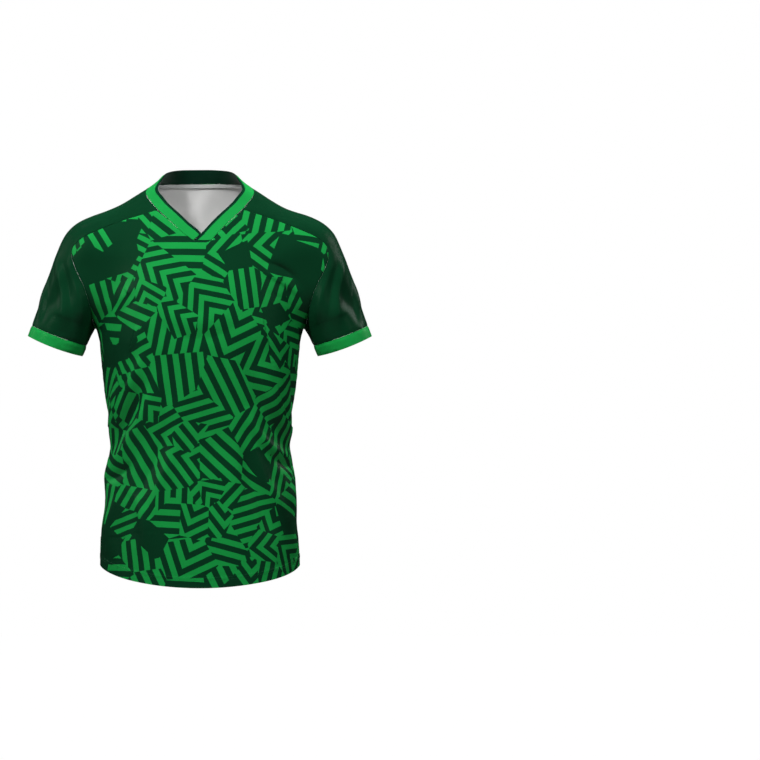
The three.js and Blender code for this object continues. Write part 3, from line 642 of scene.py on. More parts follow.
def on_arm(place, side):
    """Both ways round the arm from its outer side, and up it from the cuff's edge."""
    up = (ARM_TOP - ARM_END) / np.linalg.norm(ARM_TOP - ARM_END)
    out = np.array([up[2], 0, -up[0]])
    off = place * np.array([side, 1, 1]) - ARM_END / MM
    return np.arctan2(-off[:, 1], off @ out) * ARM_RADIUS / MM, off @ up


# Node helpers
def node(tree, kind, **values):
    made = tree.nodes.new(kind)
    for key, value in values.items():
        setattr(made, key, value)
    return made


def put(tree, socket, value):
    """Sets a socket, or links another to it."""
    if isinstance(value, bpy.types.NodeSocket):
        tree.links.new(value, socket)
    else:
        socket.default_value = value


def maths(tree, operation, *values):
    made = node(tree, "ShaderNodeMath", operation=operation)
    for socket, value in zip(made.inputs, values):
        put(tree, socket, value)
    return made.outputs[0]


def times(tree, first, second):
    return maths(tree, "MULTIPLY", first, second)


def plus(tree, first, second):
    return maths(tree, "ADD", first, second)


def minus(tree, first, second):
    return maths(tree, "SUBTRACT", first, second)


def vector_maths(tree, operation, *values):
    made = node(tree, "ShaderNodeVectorMath", operation=operation)
    for socket, value in zip(made.inputs, values):
        put(tree, socket, value)
    return made.outputs["Value"] if operation in ("DOT_PRODUCT", "LENGTH") else made.outputs[0]


def split(tree, vector):
    made = node(tree, "ShaderNodeSeparateXYZ")
    put(tree, made.inputs[0], vector)
    return made.outputs[:3]


def join(tree, x, y, z=0.0):
    made = node(tree, "ShaderNodeCombineXYZ")
    for socket, value in zip(made.inputs, (x, y, z)):
        put(tree, socket, value)
    return made.outputs[0]


def mix_colour(tree, factor, first, second):
    made = node(tree, "ShaderNodeMix", data_type="RGBA")
    put(tree, made.inputs["Factor"], factor)
    put(tree, made.inputs[6], first)
    put(tree, made.inputs[7], second)
    return made.outputs[2]


def group(name, inputs, outputs):
    """A new node group with named sockets, and its input and output nodes."""
    tree = bpy.data.node_groups.new(name, "ShaderNodeTree")
    for label, kind, default in inputs:
        socket = tree.interface.new_socket(label, in_out="INPUT", socket_type="NodeSocket" + kind)
        if default is not None:
            socket.default_value = default
    for label, kind in outputs:
        tree.interface.new_socket(label, in_out="OUTPUT", socket_type="NodeSocket" + kind)
    return tree, tree.nodes.new("NodeGroupInput").outputs, tree.nodes.new("NodeGroupOutput").inputs


def use(tree, name, **values):
    made = node(tree, "ShaderNodeGroup", node_tree=bpy.data.node_groups[name])
    for key, value in values.items():
        put(tree, made.inputs[key], value)
    return made.outputs


def knit_group():
    """Fine interlock knit: the height of its wales and courses, and a slow change of tone."""
    tree, given, out = group(
        "Knit", [("Map", "Vector", None), ("Pitch", "Float", 0.0011)],
        [("Height", "Float"), ("Tone", "Float")])
    x, y, _ = split(tree, vector_maths(tree, "DIVIDE", given["Map"],
                                       join(tree, given["Pitch"], given["Pitch"], 1.0)))
    wale = maths(tree, "SINE", times(tree, x, 2 * math.pi))
    leaning = plus(tree, y, times(tree, wale, 0.12))
    course = maths(tree, "SINE", times(tree, leaning, 2.6 * math.pi))
    put(tree, out["Height"], plus(tree, times(tree, wale, 0.6), times(tree, course, 0.4)))
    cloudy = node(tree, "ShaderNodeTexNoise", noise_dimensions="3D")
    put(tree, cloudy.inputs["Vector"], given["Map"])
    cloudy.inputs["Scale"].default_value = 26.0
    cloudy.inputs["Detail"].default_value = 3.0
    put(tree, out["Tone"], cloudy.outputs["Fac"])


# The bars of a shard lie at one of this many slants, from this first one on
SLANTS, FIRST_SLANT = 9, 0.3
# How steeply the bars of a kinked shard bend back, and the share of a bar and its gap that is bar
KINK_SLOPE, BAR_SHARE = 1.15, 0.50
# Smaller shards lie over the large ones where their own value is above the first of these, and
# have bars below the second. Their size and pitch are these shares of the large ones'
SMALL_OVER, SMALL_BARRED = 0.62, 0.80
SMALL_PATCH, SMALL_PITCH = 0.66, 0.9


def shards_group():
    """Shards of slanting bars, some of them kinked: whether a place is on a bar, and a value that
    is its shard's own."""
    tree, given, out = group(
        "Shards", [("Map", "Vector", None), ("Patch", "Float", 0.08), ("Pitch", "Float", 0.026)],
        [("Bars", "Float"), ("Own", "Float")])
    size = join(tree, given["Patch"], given["Patch"], 1.0)
    shrunk = vector_maths(tree, "DIVIDE", given["Map"], size)
    cells = node(tree, "ShaderNodeTexVoronoi", voronoi_dimensions="2D")
    put(tree, cells.inputs["Vector"], shrunk)
    cells.inputs["Scale"].default_value = 1.0
    cells.inputs["Randomness"].default_value = 0.9
    centre = vector_maths(tree, "MULTIPLY", cells.outputs["Position"], size)
    x, y, _ = split(tree, vector_maths(tree, "SUBTRACT", given["Map"], centre))
    turn, own, kink = split(tree, cells.outputs["Color"])
    step = maths(tree, "FLOOR", times(tree, turn, SLANTS))
    angle = plus(tree, times(tree, step, math.pi / SLANTS), FIRST_SLANT)
    cosine, sine = maths(tree, "COSINE", angle), maths(tree, "SINE", angle)
    along = plus(tree, times(tree, x, cosine), times(tree, y, sine))
    across = minus(tree, times(tree, y, cosine), times(tree, x, sine))
    kinked = times(tree, maths(tree, "GREATER_THAN", kink, 0.5), KINK_SLOPE)
    ramp = plus(tree, across, times(tree, maths(tree, "ABSOLUTE", along), kinked))
    wider = plus(tree, times(tree, kinked, 0.34), plus(tree, times(tree, turn, 0.28), 0.84))
    pitch = times(tree, given["Pitch"], wider)
    phase = maths(tree, "FRACT", plus(tree, maths(tree, "DIVIDE", ramp, pitch), kink))
    put(tree, out["Bars"], maths(tree, "LESS_THAN", phase, BAR_SHARE))
    put(tree, out["Own"], own)


def print_group():
    """The print: large shards of bars, with smaller barred shards and plain ones over them."""
    tree, given, out = group(
        "Bar print", [("Map", "Vector", None), ("Patch", "Float", 0.08), ("Pitch", "Float", 0.026)],
        [("Bars", "Float")])
    large = use(tree, "Shards", Map=given["Map"], Patch=given["Patch"], Pitch=given["Pitch"])
    moved = vector_maths(tree, "ADD", given["Map"], (1.37, 0.81, 0))
    small = use(tree, "Shards", Map=moved, Patch=times(tree, given["Patch"], SMALL_PATCH),
                Pitch=times(tree, given["Pitch"], SMALL_PITCH))
    over = maths(tree, "GREATER_THAN", small["Own"], SMALL_OVER)
    barred = maths(tree, "LESS_THAN", small["Own"], SMALL_BARRED)
    upper = times(tree, times(tree, over, barred), small["Bars"])
    under = times(tree, minus(tree, 1.0, over), large["Bars"])
    put(tree, out["Bars"], plus(tree, upper, under))


def ring_group():
    """A rounded box, or a ring of one, as a mask: 1 where it is inked."""
    tree, given, out = group(
        "Rounded ring",
        [("Map", "Vector", None), ("Centre", "Vector", (0, 0, 0)), ("Half", "Vector", (0.05, 0.05, 1)),
         ("Radius", "Float", 0.02), ("Stroke", "Float", 1.0)], [("Ink", "Float")])
    moved = vector_maths(tree, "ABSOLUTE", vector_maths(tree, "SUBTRACT", given["Map"], given["Centre"]))
    inner = vector_maths(tree, "SUBTRACT", given["Half"], join(tree, given["Radius"], given["Radius"], 0.0))
    x, y, _ = split(tree, vector_maths(tree, "SUBTRACT", moved, inner))
    past_x, past_y = (maths(tree, "MAXIMUM", value, 0.0) for value in (x, y))
    outside = vector_maths(tree, "LENGTH", join(tree, past_x, past_y))
    within = maths(tree, "MINIMUM", maths(tree, "MAXIMUM", x, y), 0.0)
    distance = minus(tree, plus(tree, outside, within), given["Radius"])
    inked = maths(tree, "LESS_THAN", distance, 0.0)
    hole = maths(tree, "GREATER_THAN", distance, times(tree, given["Stroke"], -1.0))
    put(tree, out["Ink"], times(tree, inked, hole))


def number_ink(tree, mapped, height):
    """The mask of a plain 18 on the back, worked out from its height."""
    stroke = height * 0.165
    turned = node(tree, "ShaderNodeVectorRotate", rotation_type="Z_AXIS")
    put(tree, turned.inputs["Vector"], mapped)
    turned.inputs["Center"].default_value = (-0.33 * height, 0.40 * height, 0)
    turned.inputs["Angle"].default_value = math.radians(-28)
    digits = (
        (mapped, (-0.25, 0.0), (0.0875, 0.5), 0.012),
        (turned.outputs[0], (-0.345, 0.385), (0.12, 0.066), 0.010),
        (mapped, (0.215, 0.262), (0.225, 0.238), 0.20),
        (mapped, (0.215, -0.218), (0.255, 0.282), 0.22),
    )
    ink = 0.0
    for placed, centre, half, radius in digits:
        part = use(tree, "Rounded ring", Map=placed, Centre=(centre[0] * height, centre[1] * height, 0),
                   Half=(half[0] * height, half[1] * height, 1), Radius=radius * height, Stroke=stroke)
        ink = maths(tree, "MAXIMUM", ink, part["Ink"])
    return ink


def new_material(name):
    """A new material's node tree and shader."""
    material = bpy.data.materials.new(name)
    material.use_nodes = True
    return material.node_tree, material.node_tree.nodes["Principled BSDF"]


def colour_by_tone(tree, shader, colour, tone, spread, least):
    """Gives the shader a colour whose value runs with a tone, from the least up by the spread."""
    toned = node(tree, "ShaderNodeHueSaturation")
    put(tree, toned.inputs["Color"], colour)
    put(tree, toned.inputs["Value"], plus(tree, times(tree, tone, spread), least))
    put(tree, shader.inputs["Base Color"], toned.outputs[0])


# How much the cloth shines, how far its knit's roughness varies, and how high its loops stand
CLOTH_SPECULAR = 0.13
ROUGHNESS_SPREAD = 0.10
LOOP_HEIGHT = 0.00012
# On the number: how much smoother it is, how far it fills the knit, and how it stands out
INK_SMOOTHER, INK_FILLS, INK_STANDS = 0.08, 0.6, 1.5


def cloth_material(name, colour, roughness=0.36, bump=0.25, printed=None, number=False):
    """Smooth polyester knit. printed is the colour of the print's bars, if it has any."""
    colours, sizes, _ = settings()
    tree, shader = new_material(name)
    mapped = node(tree, "ShaderNodeUVMap", uv_map="cloth").outputs[0]
    knit = use(tree, "Knit", Map=mapped, Pitch=sizes.knit_pitch)
    base = (*colour, 1)
    height = knit["Height"]
    rough = plus(tree, times(tree, knit["Tone"], ROUGHNESS_SPREAD), roughness - ROUGHNESS_SPREAD / 2)
    if printed is not None:
        bars = use(tree, "Bar print", Map=mapped, Patch=sizes.patch, Pitch=sizes.bar_pitch)
        base = mix_colour(tree, bars["Bars"], base, (*printed, 1))
    if number:
        ink = number_ink(tree, mapped, sizes.number_height)
        base = mix_colour(tree, ink, base, (*colours.number, 1))
        rough = minus(tree, rough, times(tree, ink, INK_SMOOTHER))
        filled = minus(tree, 1.0, times(tree, ink, INK_FILLS))
        height = plus(tree, times(tree, height, filled), times(tree, ink, INK_STANDS))
    colour_by_tone(tree, shader, base, knit["Tone"], 0.16, 0.92)
    put(tree, shader.inputs["Roughness"], rough)
    shader.inputs["Specular IOR Level"].default_value = CLOTH_SPECULAR
    raised = node(tree, "ShaderNodeBump")
    raised.inputs["Strength"].default_value = bump
    raised.inputs["Distance"].default_value = LOOP_HEIGHT
    put(tree, raised.inputs["Height"], height)
    put(tree, shader.inputs["Normal"], raised.outputs[0])


def thread_material(name, colour):
    """Twisted polyester thread."""
    tree, shader = new_material(name)
    twist = node(tree, "ShaderNodeTexNoise", noise_dimensions="3D")
    put(tree, twist.inputs["Vector"], node(tree, "ShaderNodeTexCoord").outputs["Object"])
    twist.inputs["Scale"].default_value = 1800.0
    colour_by_tone(tree, shader, (*colour, 1), twist.outputs["Fac"], 0.4, 0.8)
    shader.inputs["Roughness"].default_value = 0.45
    shader.inputs["Sheen Weight"].default_value = 0.2


def allowance_material(name, colour):
    """The raw inside cloth of the seam allowances, by place and not by a map."""
    tree, shader = new_material(name)
    place = node(tree, "ShaderNodeTexCoord").outputs["Object"]
    knit = use(tree, "Knit", Map=place, Pitch=settings()[1].knit_pitch)
    colour_by_tone(tree, shader, (*colour, 1), knit["Tone"], 0.2, 0.86)
    shader.inputs["Roughness"].default_value = 0.75
    shader.inputs["Specular IOR Level"].default_value = 0.2


def make_materials():
    colours, _, _ = settings()
    cloth_material("Printed cloth", colours.dark, printed=colours.bright)
    cloth_material("Printed cloth with number", colours.dark, printed=colours.bright, number=True)
    cloth_material("Sleeve cloth", colours.dark)
    cloth_material("Band cloth", colours.bright)
    cloth_material("Facing cloth", colours.facing)
    cloth_material("Inside cloth", colours.inside, roughness=0.7)
    cloth_material("Neck tape", colours.tape, roughness=0.75, bump=0.6)
    allowance_material("Seam allowance", colours.inside)
    thread_material("Green thread", tuple(1.4 * c for c in colours.dark))
    thread_material("Pale thread", colours.pale_thread)


def dress(obj, outer, inner):
    """Gives the outer skin and the rims one material and the inner skin another."""
    for name in (outer, inner):
        obj.data.materials.append(bpy.data.materials[name])
    obj.data.polygons.foreach_set("material_index", (skins_of(obj.data) == INNER).astype(np.int32))
    obj.data.update()


def seat(obj, cut_piece=None):
    """Lets a finished piece ride with the jersey, in place of its cut piece if it has one."""
    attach(obj, BODY)
    if cut_piece:
        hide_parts(cut_piece)


# Sewing
@functools.cache
def surface_of(obj, number):
    """One skin of a finished piece, to lay sewing on."""
    skins = skins_of(obj.data)
    faces = [tuple(p.vertices) for p in obj.data.polygons if skins[p.index] == number]
    return BVHTree.FromPolygons([v.co for v in obj.data.vertices], faces)


def rim_lines(obj, number, keep):
    """The lines along which a skin meets the rim, where keep is true of their places: lists of
    places, each with the way from the rim into the piece."""
    bm = bmesh.new()
    bm.from_mesh(obj.data)
    skin = bm.faces.layers.int["skin"]
    joined = {}
    for edge in bm.edges:
        met = {face[skin] for face in edge.link_faces}
        if met == {number, RIM} and all(keep(v.co) for v in edge.verts):
            for vert in edge.verts:
                joined.setdefault(vert, []).append(edge)
    lines = []
    left = dict.fromkeys(joined)
    while left:
        ends = [vert for vert in left if len(joined[vert]) == 1]
        line = [min(ends or left, key=lambda vert: tuple(round(c, 5) for c in vert.co))]
        while line[-1] in left:
            del left[line[-1]]
            following = [e.other_vert(line[-1]) for e in joined[line[-1]] if e.other_vert(line[-1]) in left]
            line += following[:1]
        if not ends:
            line.append(line[0])
        lines.append([(vert.co.copy(), inwards(vert, skin, number)) for vert in line])
    bm.free()
    return lines


def inwards(vert, skin, number):
    middles = [face.calc_center_median() for face in vert.link_faces if face[skin] == number]
    return (sum(middles, Vector()) / len(middles) - vert.co).normalized()


def sewing_line(obj, number, line, inset, step):
    """Even places at an inset from a rim, lying on a skin, each with the way along the line, the
    way into the piece and the way off the cloth."""
    surface = surface_of(obj, number)
    moved = []
    for k, (place, inward) in enumerate(line):
        along = line[min(k + 1, len(line) - 1)][0] - line[max(k - 1, 0)][0]
        _, normal, _, _ = surface.find_nearest(place)
        square = along.cross(normal).normalized()
        square *= 1 if square.dot(inward) > 0 else -1
        moved.append(surface.find_nearest(place + square * inset)[0])
    reach = np.append(0, np.cumsum([(b - a).length for a, b in zip(moved, moved[1:])]))
    count = max(2, round(reach[-1] / step))
    found = []
    for at in (np.arange(count) + 0.5) / count * reach[-1]:
        k = min(int(np.searchsorted(reach, at, side="right")) - 1, len(moved) - 2)
        share = (at - reach[k]) / max(reach[k + 1] - reach[k], 1e-9)
        place, normal, _, _ = surface.find_nearest(moved[k].lerp(moved[k + 1], share))
        along = (moved[k + 1] - moved[k]).normalized()
        square = along.cross(normal).normalized()
        square *= 1 if square.dot(line[k][1]) > 0 else -1
        found.append((place, along, square, normal))
    return found


# One stitch: the share of its length that is thread, the thread's height as a share of its width,
# how far its ends sink in thread widths, and how far it stands off the cloth
STITCH_FILL, STITCH_FLAT, STITCH_SINK, STITCH_STANDS = 0.92, 0.62, 2.4, 0.3
# The thread inside: its stitch's length as a share of the hem's, how much longer the slanting
# stitches of the zigzag and of the overlock are, and their slants
INSIDE_PITCH = 0.8
ZIGZAG_STRETCH, ZIGZAG_SLANT = 1.7, -0.9
OVERLOCK_STRETCH, OVERLOCK_SLANT = 1.3, -1.15
# How far the overlock and the tape's stitches lie in from their edges
SEWN_IN = 0.0012


def stitch_shape(sizes):
    """The points and faces of one stitch: a short length of thread whose ends go into the cloth."""
    bpy.ops.object.select_all(action="DESELECT")
    bpy.ops.mesh.primitive_uv_sphere_add(segments=6, ring_count=5, radius=0.5)
    ball = bpy.context.active_object
    points = np.array([v.co for v in ball.data.vertices])
    faces = [tuple(p.vertices) for p in ball.data.polygons]
    bpy.data.objects.remove(ball)
    flat = sizes.thread * STITCH_FLAT
    x, y, z = points[:, 2], points[:, 1], -points[:, 0]
    sunk = STITCH_SINK * x ** 2 * sizes.thread
    height = z * flat - sunk + flat * STITCH_STANDS
    return np.stack([x * sizes.stitch * STITCH_FILL, y * sizes.thread, height], axis=1), faces


def stitches(shape, places, slant=0.0, lift=0.0, stretch=1.0):
    """Copies of the stitch, one at each place, turned by a slant in the plane of the cloth, by
    turns one way and the other where it is negative."""
    points, faces = shape
    made, ringed = [], []
    for k, (place, along, square, normal) in enumerate(places):
        turn = slant if slant > 0 else -slant * (1 if k % 2 else -1)
        way = (along * math.cos(turn) + square * math.sin(turn)).normalized()
        ways = np.array([way * stretch, normal.cross(way), normal])
        made.append(points @ ways + np.array(place + normal * lift))
        ringed += [tuple(i + k * len(points) for i in face) for face in faces]
    return np.concatenate(made), ringed


def thread_piece(name, runs, material):
    """One mesh of all the stitches of some seams."""
    points = np.concatenate([run[0] for run in runs])
    faces = []
    start = 0
    for more, ringed in runs:
        faces += [tuple(i + start for i in face) for face in ringed]
        start += len(more)
    mesh = bpy.data.meshes.new(name)
    mesh.from_pydata(points.tolist(), [], faces)
    obj = bpy.data.objects.new(name, mesh)
    bpy.context.scene.collection.objects.link(obj)
    face_out(obj)
    mesh.materials.append(bpy.data.materials[material])
    seat(obj)


# A seam allowance: the spacing of its points along the seam, its thickness, how far it covers the
# seam, and how far apart the waves of its free edge are
ALLOWANCE_STEP = 0.005
ALLOWANCE_WALL = 0.0006
OVERLAP = 0.0007
WAVE = 0.014


def allowance_strip(name, obj, line, width):
    """The trimmed edge of a seam, turned to one side inside the jersey: a narrow strip that
    covers the seam. Gives the places along its free edge."""
    inner = sewing_line(obj, INNER, line, 0, ALLOWANCE_STEP)
    bpy.ops.object.select_all(action="DESELECT")
    bpy.ops.mesh.primitive_grid_add(x_subdivisions=len(inner) - 1, y_subdivisions=3, size=1)
    strip = bpy.context.active_object
    strip.name = name
    surface = surface_of(obj, INNER)
    columns = len(inner)
    placed = np.zeros((len(strip.data.vertices), 3))
    free = []
    for row, inset in enumerate((-OVERLAP, width / 3, 2 * width / 3, width)):
        for k, (place, along, square, normal) in enumerate(inner):
            wave = 1 + 0.5 * noise.noise(place / WAVE)
            if inset <= 0:
                on, off = place + square * inset, normal
            else:
                on, off, _, _ = surface.find_nearest(place + square * inset)
            lift = ALLOWANCE_WALL * (0.75 + (wave if row == 3 else 0.2))
            placed[row * columns + k] = on + off * lift
            if row == 3:
                free.append((Vector(placed[row * columns + k]), along, square, off))
    strip.data.vertices.foreach_set("co", placed.ravel())
    wall = strip.modifiers.new("Wall", "SOLIDIFY")
    wall.thickness = ALLOWANCE_WALL
    wall.offset = 0
    bpy.ops.object.modifier_apply(modifier=wall.name)
    face_out(strip)
    while strip.data.uv_layers:
        strip.data.uv_layers.remove(strip.data.uv_layers[0])
    strip.data.materials.append(bpy.data.materials["Seam allowance"])
    seat(strip)
    return free


class JERSEY_OT_panels(bpy.types.Operator):
    """Makes the printed front and back panels, with the number on the back"""

    bl_idname = "jersey.panels"
    bl_label = "Front and back panels"

    def execute(self, context):
        _, sizes, _ = settings()
        hem_top = CAD_BOX[0].z + HEM_REACH

        def seam(place):
            return (place[:, 2] > hem_top) | (np.abs(place[:, 1]) < SIDE_NEAR)

        def hem_edge(place):
            return ~seam(place)

        for name, cut_piece, way, anchor, creases, outer in (
            ("front_cloth", "front_panel", 1, (0, -0.115, -0.30), FRONT_CREASES, "Printed cloth"),
            ("back_cloth", "back_panel", -1, (0, 0.10, -0.268), BACK_CREASES, "Printed cloth with number"),
        ):
            panel = cloth(name, cut_piece, 2, way, anchor)
            even_out(panel, PANEL_ROUNDS)
            refine(panel)
            crease(panel, creases, on_panel, seam, hem_edge, sizes.hem_depth)
            dress(panel, outer, "Inside cloth")
            seat(panel, cut_piece)
        return {"FINISHED"}


class JERSEY_OT_sleeves(bpy.types.Operator):
    """Makes the two plain sleeves, which run over the shoulders to the collar"""

    bl_idname = "jersey.sleeves"
    bl_label = "Sleeves"

    def execute(self, context):
        for name, side in (("left", 1), ("right", -1)):
            sleeve = cloth(f"sleeve_cloth_{name}", f"sleeve_{name}", 3, side, (side * 0.28, 0, -0.2))
            even_out(sleeve, SLEEVE_ROUNDS)
            crease(sleeve, SLEEVE_CREASES, lambda place: on_arm(place, side), everywhere)
            dress(sleeve, "Sleeve cloth", "Inside cloth")
            seat(sleeve, f"sleeve_{name}")
        return {"FINISHED"}


def everywhere(place):
    return np.ones(len(place), bool)


class JERSEY_OT_cuffs(bpy.types.Operator):
    """Makes the two bright cuff bands"""

    bl_idname = "jersey.cuffs"
    bl_label = "Cuffs"

    def execute(self, context):
        for name, side in (("left", 1), ("right", -1)):
            band = cloth(f"cuff_cloth_{name}", f"cuff_{name}", 3, side, (side * 0.26, -0.05, -0.285))
            crease(band, [], on_panel, lambda place: on_arm(place / MM, side)[1] > CUFF_EDGE)
            dress(band, "Band cloth", "Band cloth")
            seat(band, f"cuff_{name}")
        return {"FINISHED"}


class JERSEY_OT_collar(bpy.types.Operator):
    """Makes the collar band, its dark facing and the tape over the back neck seam"""

    bl_idname = "jersey.collar"
    bl_label = "Collar"

    def execute(self, context):
        for name, cut_piece, material, slot in (
            ("collar_cloth", "collar", "Band cloth", "collar_cloth"),
            ("facing_cloth", "collar_facing", "Facing cloth", "facing_cloth"),
            ("neck_tape_cloth", "neck_tape", "Neck tape", "tape_cloth"),
        ):
            band = cloth(name, cut_piece, 2)
            push(band, sway(points_of(band)) * MM)
            dress(band, material, material)
            seat(band, cut_piece)
        return {"FINISHED"}


class JERSEY_OT_hems(bpy.types.Operator):
    """Sews the hem with two rows outside and a zigzag inside, and the tape along both edges"""

    bl_idname = "jersey.hems"
    bl_label = "Hem and tape stitches"

    def execute(self, context):
        _, sizes, _ = settings()
        shape = stitch_shape(sizes)
        low = CAD_BOX[0].z + STITCHED_REACH
        outside, inside = [], []

        def hem_edge(p):
            return p.z < low and abs(p.y) > SIDE_ON

        for name in ("front_cloth", "back_cloth"):
            panel = bpy.data.objects[name]
            for line in rim_lines(panel, OUTER, hem_edge):
                for inset in (sizes.hem_depth, sizes.hem_depth - sizes.hem_rows_apart):
                    outside.append(stitches(shape, sewing_line(panel, OUTER, line, inset, sizes.stitch)))
            for line in rim_lines(panel, INNER, hem_edge):
                inset = sizes.hem_depth - sizes.hem_rows_apart / 2
                zigzag = sewing_line(panel, INNER, line, inset, sizes.stitch * INSIDE_PITCH)
                inside.append(stitches(shape, zigzag, slant=ZIGZAG_SLANT, stretch=ZIGZAG_STRETCH))
        tape = bpy.data.objects["neck_tape_cloth"]
        for line in rim_lines(tape, INNER, lambda p: True):
            inside.append(stitches(shape, sewing_line(tape, INNER, line, SEWN_IN, sizes.stitch)))
        thread_piece("hem_stitches", outside, "Green thread")
        thread_piece("inner_stitches", inside, "Pale thread")
        return {"FINISHED"}


class JERSEY_OT_seams(bpy.types.Operator):
    """Makes the trimmed and overlocked cloth inside the side, armhole, cuff and neck seams"""

    bl_idname = "jersey.seams"
    bl_label = "Seams inside"

    def execute(self, context):
        _, sizes, _ = settings()
        shape = stitch_shape(sizes)

        def arm_height(point, side):
            return on_arm(np.array([point]) / MM, side)[1][0]

        seams = [
            ("side", "back_cloth", "printed_cloth", lambda p: abs(p.y) < SIDE_ON and p.z < SIDE_TOP),
            ("neck_front", "front_cloth", "printed_cloth",
             lambda p: abs(p.x) < FRONT_NECK_X and FRONT_NECK_Z < p.z and abs(p.y) < FRONT_NECK_Y),
        ]
        for name, side in (("left", 1), ("right", -1)):
            for seam, keep in (
                ("armhole", lambda p, s=side: abs(p.x) > SLEEVE_NECK_X and arm_height(p, s) > ARMHOLE),
                ("cuff", lambda p, s=side: abs(p.x) > SLEEVE_NECK_X and arm_height(p, s) < CUFF_SEAM),
                ("neck", lambda p: abs(p.x) < SLEEVE_NECK_X),
            ):
                seams.append((f"{seam}_{name}", f"sleeve_cloth_{name}", "sleeve_cloth", keep))
        thread = []
        for name, piece, slot, keep in seams:
            obj = bpy.data.objects[piece]
            for number, line in enumerate(rim_lines(obj, INNER, keep)):
                strip_name = f"{name}_allowance_{number}"
                free = allowance_strip(strip_name, obj, line, sizes.allowance)
                thread.append(overlock(shape, free, sizes))
        thread_piece("overlock_thread", thread, "Pale thread")
        return {"FINISHED"}


def overlock(shape, free, sizes):
    """Slanting stitches that wrap the free edge of a seam allowance."""
    places = []
    count = round(ALLOWANCE_STEP / (sizes.stitch * INSIDE_PITCH) * len(free))
    for at in np.linspace(0, len(free) - 1.001, count):
        k = int(at)
        a, b = free[k], free[k + 1]
        place = a[0].lerp(b[0], at - k) - a[2] * SEWN_IN
        places.append((place, a[1], a[2], a[3]))
    return stitches(shape, places, slant=OVERLOCK_SLANT, lift=ALLOWANCE_WALL * 0.6,
                    stretch=OVERLOCK_STRETCH)


class JERSEY_OT_edges(bpy.types.Operator):
    """Rounds the edges of all the cloth pieces and of the neck tape"""

    bl_idname = "jersey.edges"
    bl_label = "Edges and flat sizes"

    def execute(self, context):
        for name, width, length, area, held, trims in SHEETS:
            obj = bpy.data.objects[name]
            soften(obj)
        soften(bpy.data.objects["neck_tape_cloth"])
        return {"FINISHED"}


# The photograph's size and the place in it of the frame's origin, in pixels
PICTURE = 760
ORIGIN_X, ORIGIN_Y = 200, 187
# The lamps' diameters: those that light the cloth, and those that it only mirrors
LIGHT_SIZE, SATIN_SIZE = 0.6, 1.1
# How strongly the white surroundings light the jersey. The camera sees them at full strength
SURROUND = 0.02
SENSOR = 36


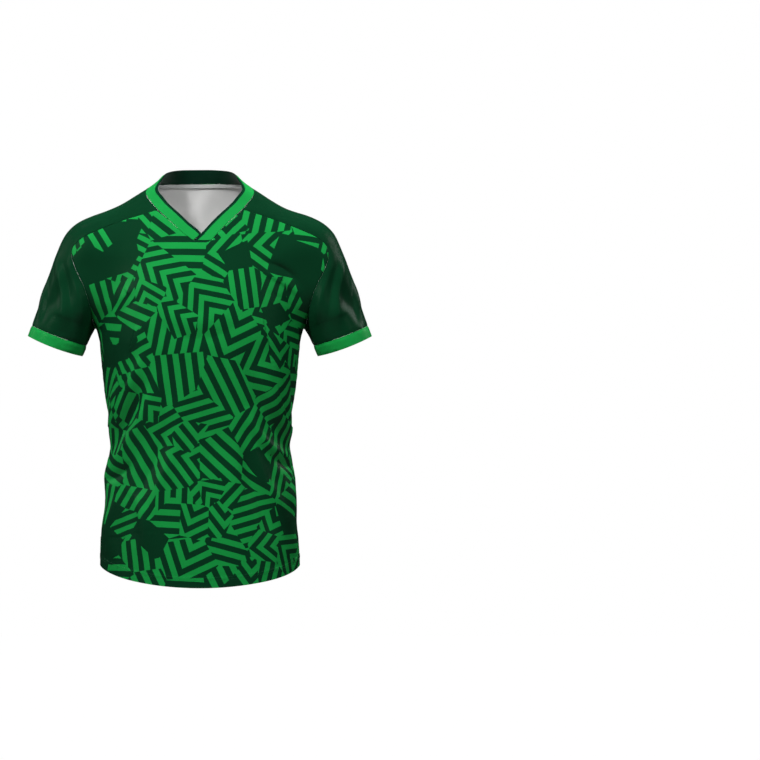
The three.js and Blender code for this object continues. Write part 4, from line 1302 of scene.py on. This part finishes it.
class JERSEY_OT_stage(bpy.types.Operator):
    """Builds the floor, the soft lights and the camera"""

    bl_idname = "jersey.stage"
    bl_label = "Stage"

    def execute(self, context):
        _, _, stage = settings()
        floor_z = CAD_BOX[0].z - stage.floor_drop
        bpy.ops.object.select_all(action="DESELECT")
        bpy.ops.mesh.primitive_circle_add(vertices=96, radius=40, fill_type="NGON", location=(0, 0, 0))
        floor = context.active_object
        floor.name = "floor"
        floor.data.transform(Matrix.Translation((0, 0, floor_z)))
        tree, shader = new_material("Pale floor")
        shader.inputs["Base Color"].default_value = (0.12, 0.12, 0.12, 1)
        shader.inputs["Roughness"].default_value = 1.0
        shader.inputs["Specular IOR Level"].default_value = 0.0
        shader.inputs["Emission Color"].default_value = (1, 1, 1, 1)
        put(tree, shader.inputs["Emission Strength"],
            node(tree, "ShaderNodeLightPath").outputs["Is Camera Ray"])
        floor.data.materials.append(bpy.data.materials["Pale floor"])
        middle = Vector((0, 0, (CAD_BOX[0].z + CAD_BOX[1].z) / 2))
        for name, place, power, shines in (
            ("key_front", (-1.35, -1.9, 2.2), 128, False),
            ("fill_front", (1.6, -1.8, 1.6), 44, False),
            ("satin_front", (-3.0, -1.6, 1.2), 13, True),
            ("edge_front", (3.0, -1.6, 0.8), 3, True),
            ("key_back", (1.35, 1.9, 2.2), 138, False),
            ("fill_back", (-1.6, 1.8, 1.6), 40, False),
            ("satin_back", (3.0, 1.6, 1.2), 10, True),
            ("edge_back", (-3.0, 1.6, 0.8), 3, True),
        ):
            bpy.ops.object.light_add(type="AREA", location=place)
            lamp = context.active_object
            lamp.name = name
            lamp.data.shape = "DISK"
            lamp.data.size = SATIN_SIZE if shines else LIGHT_SIZE
            lamp.data.energy = power
            lamp.visible_diffuse = not shines
            lamp.visible_glossy = shines
            lamp.rotation_euler = (middle - Vector(place)).to_track_quat("-Z", "Y").to_euler()
        world = bpy.data.worlds.new("Studio")
        world.use_nodes = True
        context.scene.world = world
        tree = world.node_tree
        tree.nodes.clear()
        both = node(tree, "ShaderNodeMixShader")
        put(tree, both.inputs[0], node(tree, "ShaderNodeLightPath").outputs["Is Camera Ray"])
        for socket, strength in zip(both.inputs[1:], (SURROUND, 1.0)):
            white = node(tree, "ShaderNodeBackground")
            white.inputs[0].default_value = (1, 1, 1, 1)
            white.inputs[1].default_value = strength
            put(tree, socket, white.outputs[0])
        out = node(tree, "ShaderNodeOutputWorld")
        put(tree, out.inputs[0], both.outputs[0])
        # The picture has the jersey's axis left of its middle, so the camera turns a little aside
        across = (PICTURE / 2 - ORIGIN_X) * stage.pixel
        height = (ORIGIN_Y - PICTURE / 2) * stage.pixel
        turn = math.atan2(across, stage.camera_distance)
        bpy.ops.object.camera_add(location=(0, -stage.camera_distance, height),
                                  rotation=(math.pi / 2, 0, -turn))
        camera = context.active_object
        camera.name = "camera"
        camera.data.sensor_width = SENSOR
        depth = math.hypot(across, stage.camera_distance)
        camera.data.lens = SENSOR * depth * math.cos(turn) ** 2 / (PICTURE * stage.pixel)
        camera.data.clip_end = 200
        context.scene.camera = camera
        context.scene.view_settings.view_transform = "Standard"
        return {"FINISHED"}


class JERSEY_PT_panel(bpy.types.Panel):
    bl_label = "Football jersey"
    bl_idname = "JERSEY_PT_panel"
    bl_space_type = "VIEW_3D"
    bl_region_type = "UI"
    bl_category = "Jersey"

    def draw(self, context):
        for settings_group in settings():
            for prop in settings_group.bl_rna.properties:
                if prop.identifier not in ("rna_type", "name"):
                    self.layout.prop(settings_group, prop.identifier)
        for operator in OPERATORS:
            self.layout.operator(operator.bl_idname)


OPERATORS = (
    JERSEY_OT_panels,
    JERSEY_OT_sleeves,
    JERSEY_OT_cuffs,
    JERSEY_OT_collar,
    JERSEY_OT_hems,
    JERSEY_OT_seams,
    JERSEY_OT_edges,
    JERSEY_OT_stage,
)
CLASSES = (JerseyColours, JerseySizes, StageSizes, *OPERATORS, JERSEY_PT_panel)


def register():
    for item in CLASSES:
        bpy.utils.register_class(item)
    bpy.types.Scene.jersey_colours = bpy.props.PointerProperty(type=JerseyColours)
    bpy.types.Scene.jersey_sizes = bpy.props.PointerProperty(type=JerseySizes)
    bpy.types.Scene.jersey_stage = bpy.props.PointerProperty(type=StageSizes)


def unregister():
    del bpy.types.Scene.jersey_stage
    del bpy.types.Scene.jersey_sizes
    del bpy.types.Scene.jersey_colours
    for item in reversed(CLASSES):
        bpy.utils.unregister_class(item)


def main():
    register()
    knit_group()
    shards_group()
    print_group()
    ring_group()
    make_materials()
    bpy.ops.jersey.panels()
    bpy.ops.jersey.sleeves()
    bpy.ops.jersey.cuffs()
    bpy.ops.jersey.collar()
    bpy.ops.jersey.hems()
    bpy.ops.jersey.seams()
    bpy.ops.jersey.edges()
    bpy.ops.jersey.stage()


if __name__ == "__main__":
    main()
